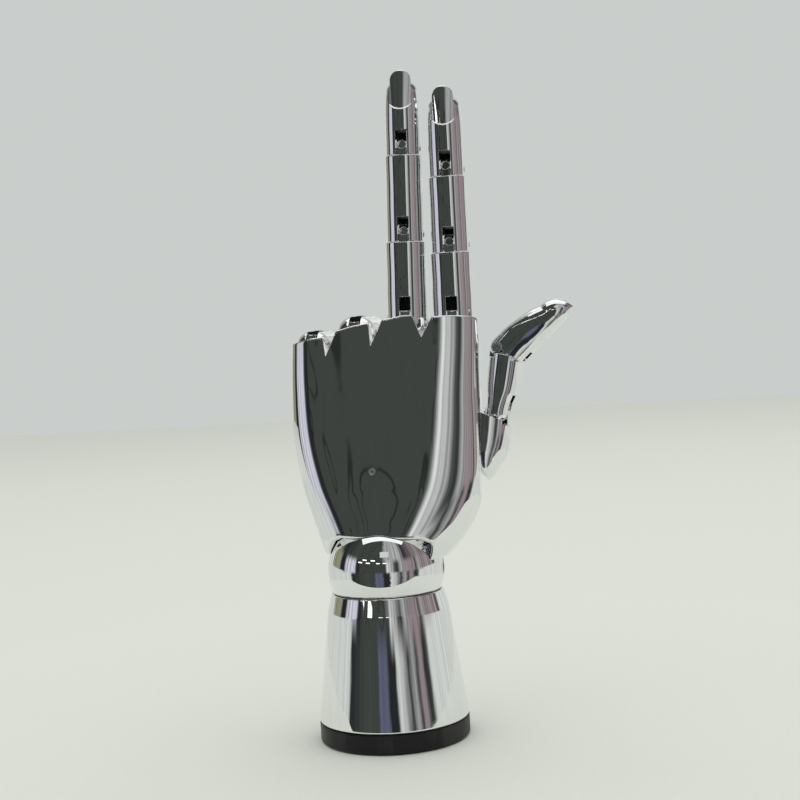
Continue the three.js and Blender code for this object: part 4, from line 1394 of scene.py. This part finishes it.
# %% [markdown]
# ## Stage
# Chrome has no colour of its own, so the stage is most of its look. The camera sees a plain pale
# floor and a pale background. Reflections see a whole room: a dark front with a lit strip towards the
# thumb, coloured edges at the sides and a pale back. A photographed panorama would do this at once,
# but colour ramps can be read and changed. Each row below describes the room at one height, as colours
# at degrees from straight in front, positive towards the thumb. The lowest row is a wall close by, so
# that the forearm sees it and the fingers look over it.

# %% Colours round the room
PALE = (0.66, 0.68, 0.65)
DARK = (0.055, 0.063, 0.056)
SHADE = (0.022, 0.023, 0.026)
PINK = (0.29, 0.24, 0.25)
OLIVE = (0.28, 0.28, 0.19)
LILAC = (0.60, 0.60, 0.68)
BLUE = (0.11, 0.12, 0.185)
LIT = (0.74, 0.75, 0.74)
GREY = (0.40, 0.40, 0.40)
ROOM_LOW = [
    (-180, PALE), (-64, PALE), (-59, SHADE), (-36, DARK), (-14, DARK), (-12, BLUE), (2, BLUE), (4, SHADE),
    (15, SHADE), (18, LIT), (28, GREY), (36, SHADE), (44, GREY), (50, SHADE), (54, PINK), (60, PINK),
    (64, SHADE), (70, DARK), (75, PALE), (180, PALE),
]
ROOM_MIDDLE = [
    (-180, PALE), (-126, PALE), (-120, OLIVE), (-97, OLIVE), (-93, SHADE), (-82, SHADE), (-79, LILAC),
    (-56, LILAC), (-53, SHADE), (-47, SHADE), (-45, DARK), (8, DARK), (11, LIT), (15, LIT), (17, GREY),
    (22, GREY), (25, DARK), (33, DARK), (37, GREY), (42, GREY), (46, PINK), (66, PINK), (70, SHADE),
    (74, GREY), (80, PINK), (112, PINK), (118, SHADE), (124, LIT), (132, PALE), (180, PALE),
]
ROOM_HIGH = [
    (-180, PALE), (-130, GREY), (-112, OLIVE), (-98, SHADE), (-60, DARK), (0, DARK), (6, GREY), (40, GREY),
    (48, SHADE), (80, PINK), (110, SHADE), (140, GREY), (180, PALE),
]
print("stops round the room:", len(ROOM_LOW), len(ROOM_MIDDLE), len(ROOM_HIGH))

# %% Nodes for directions and heights
MIDDLE_TO_HIGH = (14.0, 26.0)


def room_row(tree, turn, stops):
    """A colour ramp round the room for one height."""
    ramp = tree.nodes.new("ShaderNodeValToRGB")
    elements = ramp.color_ramp.elements
    while len(elements) < len(stops):
        elements.new(0.5)
    for element, (degrees, colour) in zip(elements, stops):
        element.position = degrees / 360 + 0.5
        element.color = (*colour, 1)
    tree.links.new(turn, ramp.inputs["Fac"])
    return ramp.outputs["Color"]


def step(tree, value, start, end):
    """0 below the start and 1 past the end, with a soft change between."""
    inputs = {"Value": value, "From Min": start, "From Max": end}
    return add(tree, "MapRange", inputs, interpolation_type="SMOOTHSTEP")


def turn_and_rise(tree, way):
    """How far round the room a direction points, from 0 to 1, and its upward share."""
    x, y, z = add(tree, "SeparateXYZ", {"Vector": way}).node.outputs
    turn = calc(tree, "ARCTAN2", x, calc(tree, "MULTIPLY", y, -1.0))
    return calc(tree, "ADD", calc(tree, "DIVIDE", turn, 2 * math.pi), 0.5), z


print("the middle row gives way to the high one at", MIDDLE_TO_HIGH, "degrees")

# %% Streaks and outlines of the room
FOLDS = 6.0
FOLD_RISE = 5.0
FRONT_FROM = (-50.0, -44.0)
FRONT_TO = (6.0, 10.0)
FOLD_SCALE = 3.0
FOLD_EDGE = (0.02, 0.12)
FOLD_SHADES = (0.45, 1.0)
STREAK_SCALE = 90.0


def outlines(tree, way):
    """Soft dark lines, as between dark shapes that stand close together."""
    flat = add(tree, "Mapping", {"Vector": way, "Scale": (1.0, 1.0, FOLD_RISE)})
    folds = calc(tree, "MULTIPLY", noise(tree, flat, FOLD_SCALE, 1.0), FOLDS)
    away = calc(tree, "SUBTRACT", calc(tree, "FRACT", folds), 0.5)
    return spread(tree, step(tree, calc(tree, "ABSOLUTE", away), *FOLD_EDGE), *FOLD_SHADES)


def in_front(tree, turn, aside, front):
    """Takes the value for the dark front of the room there, and the other one beside it."""
    degrees = calc(tree, "MULTIPLY", calc(tree, "SUBTRACT", turn, 0.5), 360.0)
    past = calc(tree, "SUBTRACT", step(tree, degrees, *FRONT_FROM), step(tree, degrees, *FRONT_TO))
    return add(tree, "Mix", {"Factor": past, "A": aside, "B": front}, "Result")


def streaked(tree, colour, turn, shades, way=None):
    """The room's colour with upright streaks, and with outlines on its dark front if way is given."""
    streaks = {"W": turn, "Scale": STREAK_SCALE, "Detail": 4.0}
    shade = spread(tree, add(tree, "TexNoise", streaks, "Fac", noise_dimensions="1D"), *shades)
    if way is not None:
        shade = in_front(tree, turn, shade, outlines(tree, way))
    both = {"Factor": 1.0, "A": colour, "B": shade}
    return add(tree, "Mix", both, "Result", data_type="RGBA", blend_type="MULTIPLY")


print("outlines from", FRONT_FROM[0], "to", FRONT_TO[1], "degrees")

# %% World
BACKGROUND = (0.585, 0.615, 0.60)
DAYLIGHT = (0.80, 0.81, 0.79)
STREAKS = (0.0, 2.0)


def make_world():
    """The room for reflections, a plain background for the camera, daylight for the rest."""
    world = bpy.data.worlds.new("studio")
    bpy.context.scene.world = world
    world.use_nodes = True
    tree = world.node_tree
    way = add(tree, "TexCoord", {}, "Generated")
    turn, rise = turn_and_rise(tree, way)
    height = calc(tree, "DEGREES", calc(tree, "ARCSINE", rise))
    middle, high = (room_row(tree, turn, row) for row in (ROOM_MIDDLE, ROOM_HIGH))
    room = mix(tree, step(tree, height, *MIDDLE_TO_HIGH), middle, high)
    rays = tree.nodes.new("ShaderNodeLightPath").outputs
    seen = mix(tree, rays["Is Diffuse Ray"], BACKGROUND, DAYLIGHT)
    seen = mix(tree, rays["Is Glossy Ray"], seen, streaked(tree, room, turn, STREAKS, way))
    tree.links.new(seen, tree.nodes["Background"].inputs["Color"])
    return world


world = make_world()
print("world:", world.name, "with", len(world.node_tree.nodes), "nodes")

# %% [markdown]
# ## Floor, wall, cards and lamp
# The floor is a pale cloth. In front it ends at the table's edge for reflections, which is why the
# wrist ball shows a white crescent with the dark room above it. Small glowing cards, seen only in
# reflections, are the tube lamps, the windows and the bright ceiling of the room. One soft lamp from
# above lights the rest and draws the shadow.

# %% Floor
FLOOR_SIDE = 6.0
FLOOR_FRONT = -3.0
FLOOR_BACK = 3.9
TABLE_EDGE = -0.131
CLOTH = [(0.70, 0.72, 0.665), (0.76, 0.78, 0.725)]
WEAVE_SCALE = 700.0


def fade(tree, surface, value):
    """Shows the surface where the value is 0 and lets light through where it is 1."""
    gone = add(tree, "BsdfTransparent", {})
    both = add(tree, "MixShader", {"Fac": value, 1: surface, 2: gone})
    tree.links.new(both, tree.nodes["Material Output"].inputs["Surface"])


def make_floor():
    """A wide cloth. Reflections see it only up to the table's edge."""
    x, front, back = FLOOR_SIDE, FLOOR_FRONT, FLOOR_BACK
    floor = new_object("floor", [(-x, front, 0), (x, front, 0), (x, back, 0), (-x, back, 0)], [(0, 1, 2, 3)])
    material, tree, shader = new_material("pale_cloth")
    place = add(tree, "TexCoord", {}, "Object")
    weave = noise(tree, place, WEAVE_SCALE, 2.0)
    tree.links.new(mix(tree, weave, *CLOTH), shader.inputs["Base Color"])
    shader.inputs["Roughness"].default_value = 0.85
    shader.inputs["Specular IOR Level"].default_value = 0.2
    past_edge = calc(tree, "LESS_THAN", add(tree, "SeparateXYZ", {"Vector": place}, "Y"), TABLE_EDGE)
    reflected = add(tree, "LightPath", {}, "Is Glossy Ray")
    fade(tree, shader.outputs[0], calc(tree, "MULTIPLY", past_edge, reflected))
    floor.data.materials.append(material)
    return floor


floor = make_floor()
print("floor", 2 * FLOOR_SIDE, "m wide")

# %% Low wall
WALL_STREAKS = (0.7, 1.3)
WALL_AWAY = 0.3
WALL_FROM, WALL_TO = -0.3, 0.075
WALL_RAGGED = 0.016
WALL_FADE = 0.03
WALL_NOISE = 40.0


def only_reflected(obj):
    """Reflections see this piece of the room, and nothing else does."""
    obj.visible_camera = False
    obj.visible_diffuse = False
    obj.visible_shadow = False
    return obj


def glowing(name):
    """A material that only glows."""
    material, tree, shader = new_material(name)
    tree.nodes.remove(shader)
    light = tree.nodes.new("ShaderNodeEmission")
    tree.links.new(light.outputs[0], tree.nodes["Material Output"].inputs["Surface"])
    return material, tree, light


def make_low_wall():
    """A low round wall with the colours of the room's lowest row, fading away at its top."""
    rings = rings_round([[WALL_AWAY, WALL_FROM], [WALL_AWAY, WALL_TO]], SIDES)
    wall = new_object("low_wall", np.concatenate(rings), bands(2, SIDES))
    material, tree, light = glowing("low_wall")
    way = add(tree, "TexCoord", {}, "Object")
    turn, rise = turn_and_rise(tree, way)
    ragged = calc(tree, "SUBTRACT", noise(tree, way, WALL_NOISE), 0.5)
    ragged = calc(tree, "MULTIPLY", ragged, WALL_RAGGED)
    colour = room_row(tree, calc(tree, "ADD", turn, ragged), ROOM_LOW)
    tree.links.new(streaked(tree, colour, turn, WALL_STREAKS), light.inputs["Color"])
    fade(tree, light.outputs[0], step(tree, rise, WALL_TO - WALL_FADE, WALL_TO))
    wall.data.materials.append(material)
    return only_reflected(wall)


low_wall = make_low_wall()
print("low wall", WALL_AWAY, "m away, up to", WALL_TO, "m, faces:", len(low_wall.data.polygons))

# %% Cards
CARD_AWAY = 12.0
# Degrees round the room and up, then width and height in degrees, and brightness
CARDS = {
    "tube_a": (-45, 17, 8, 1.5, 2.5),
    "tube_b": (-28, 17, 8, 1.5, 2.5),
    "tube_c": (-7, 17, 7, 1.4, 2.5),
    "tube_d": (6, 17, 6, 1.4, 2.5),
    "tube_e": (-36, 22, 8, 1.6, 2.5),
    "tube_f": (-18, 22, 8, 1.6, 2.5),
    "window": (6, 34, 16, 11, 0.7),
    "skylight": (180, 72, 60, 36, 1.2),
    "ceiling": (0, 76, 70, 28, 1.1),
}


def make_card(name, turn, up, wide, high, glow):
    """A glowing rectangle that only reflections see."""
    x, z = (CARD_AWAY * math.tan(math.radians(size / 2)) for size in (wide, high))
    card = new_object(name, [(-x, 0, -z), (x, 0, -z), (x, 0, z), (-x, 0, z)], [(0, 1, 2, 3)])
    material, _, light = glowing(name)
    light.inputs["Strength"].default_value = glow
    card.data.materials.append(material)
    place = Matrix.Rotation(math.radians(turn), 4, "Z") @ Matrix.Rotation(-math.radians(up), 4, "X")
    card.matrix_world = place @ Matrix.Translation((0, -CARD_AWAY, 0))
    return only_reflected(card)


for name, card in CARDS.items():
    make_card(name, *card)
print("cards:", list(CARDS))

# %% Lamp
LAMP_AT = Vector((0.2, 0.3, 2.2))
LAMP_AIM = Vector((0, 0.2, 0))
LAMP_SIDE = 2.5
LAMP_WATTS = 14.0


def make_overhead():
    """A soft lamp that reflections don't see."""
    data = bpy.data.lights.new("overhead", "AREA")
    data.shape = "RECTANGLE"
    data.size = LAMP_SIDE
    data.size_y = LAMP_SIDE
    data.energy = LAMP_WATTS
    lamp = bpy.data.objects.new("overhead", data)
    bpy.context.scene.collection.objects.link(lamp)
    lamp.location = LAMP_AT
    lamp.rotation_euler = (LAMP_AIM - LAMP_AT).to_track_quat("-Z", "Y").to_euler()
    lamp.visible_glossy = False


make_overhead()
bpy.context.scene.view_settings.view_transform = "Standard"
print("lamp of", LAMP_WATTS, "W,", LAMP_SIDE, "m wide")

# %% [markdown]
# ## Measuring
# The dressed hand should fill the same box as its solids, so the piece that is furthest from its solid
# is printed. The dressed hand should fill the same box as its solids, because other tools use both.

worst = max(worst_fit, key=worst_fit.get)
print("piece furthest from its solid:", worst, round(worst_fit[worst], 2), "mm")
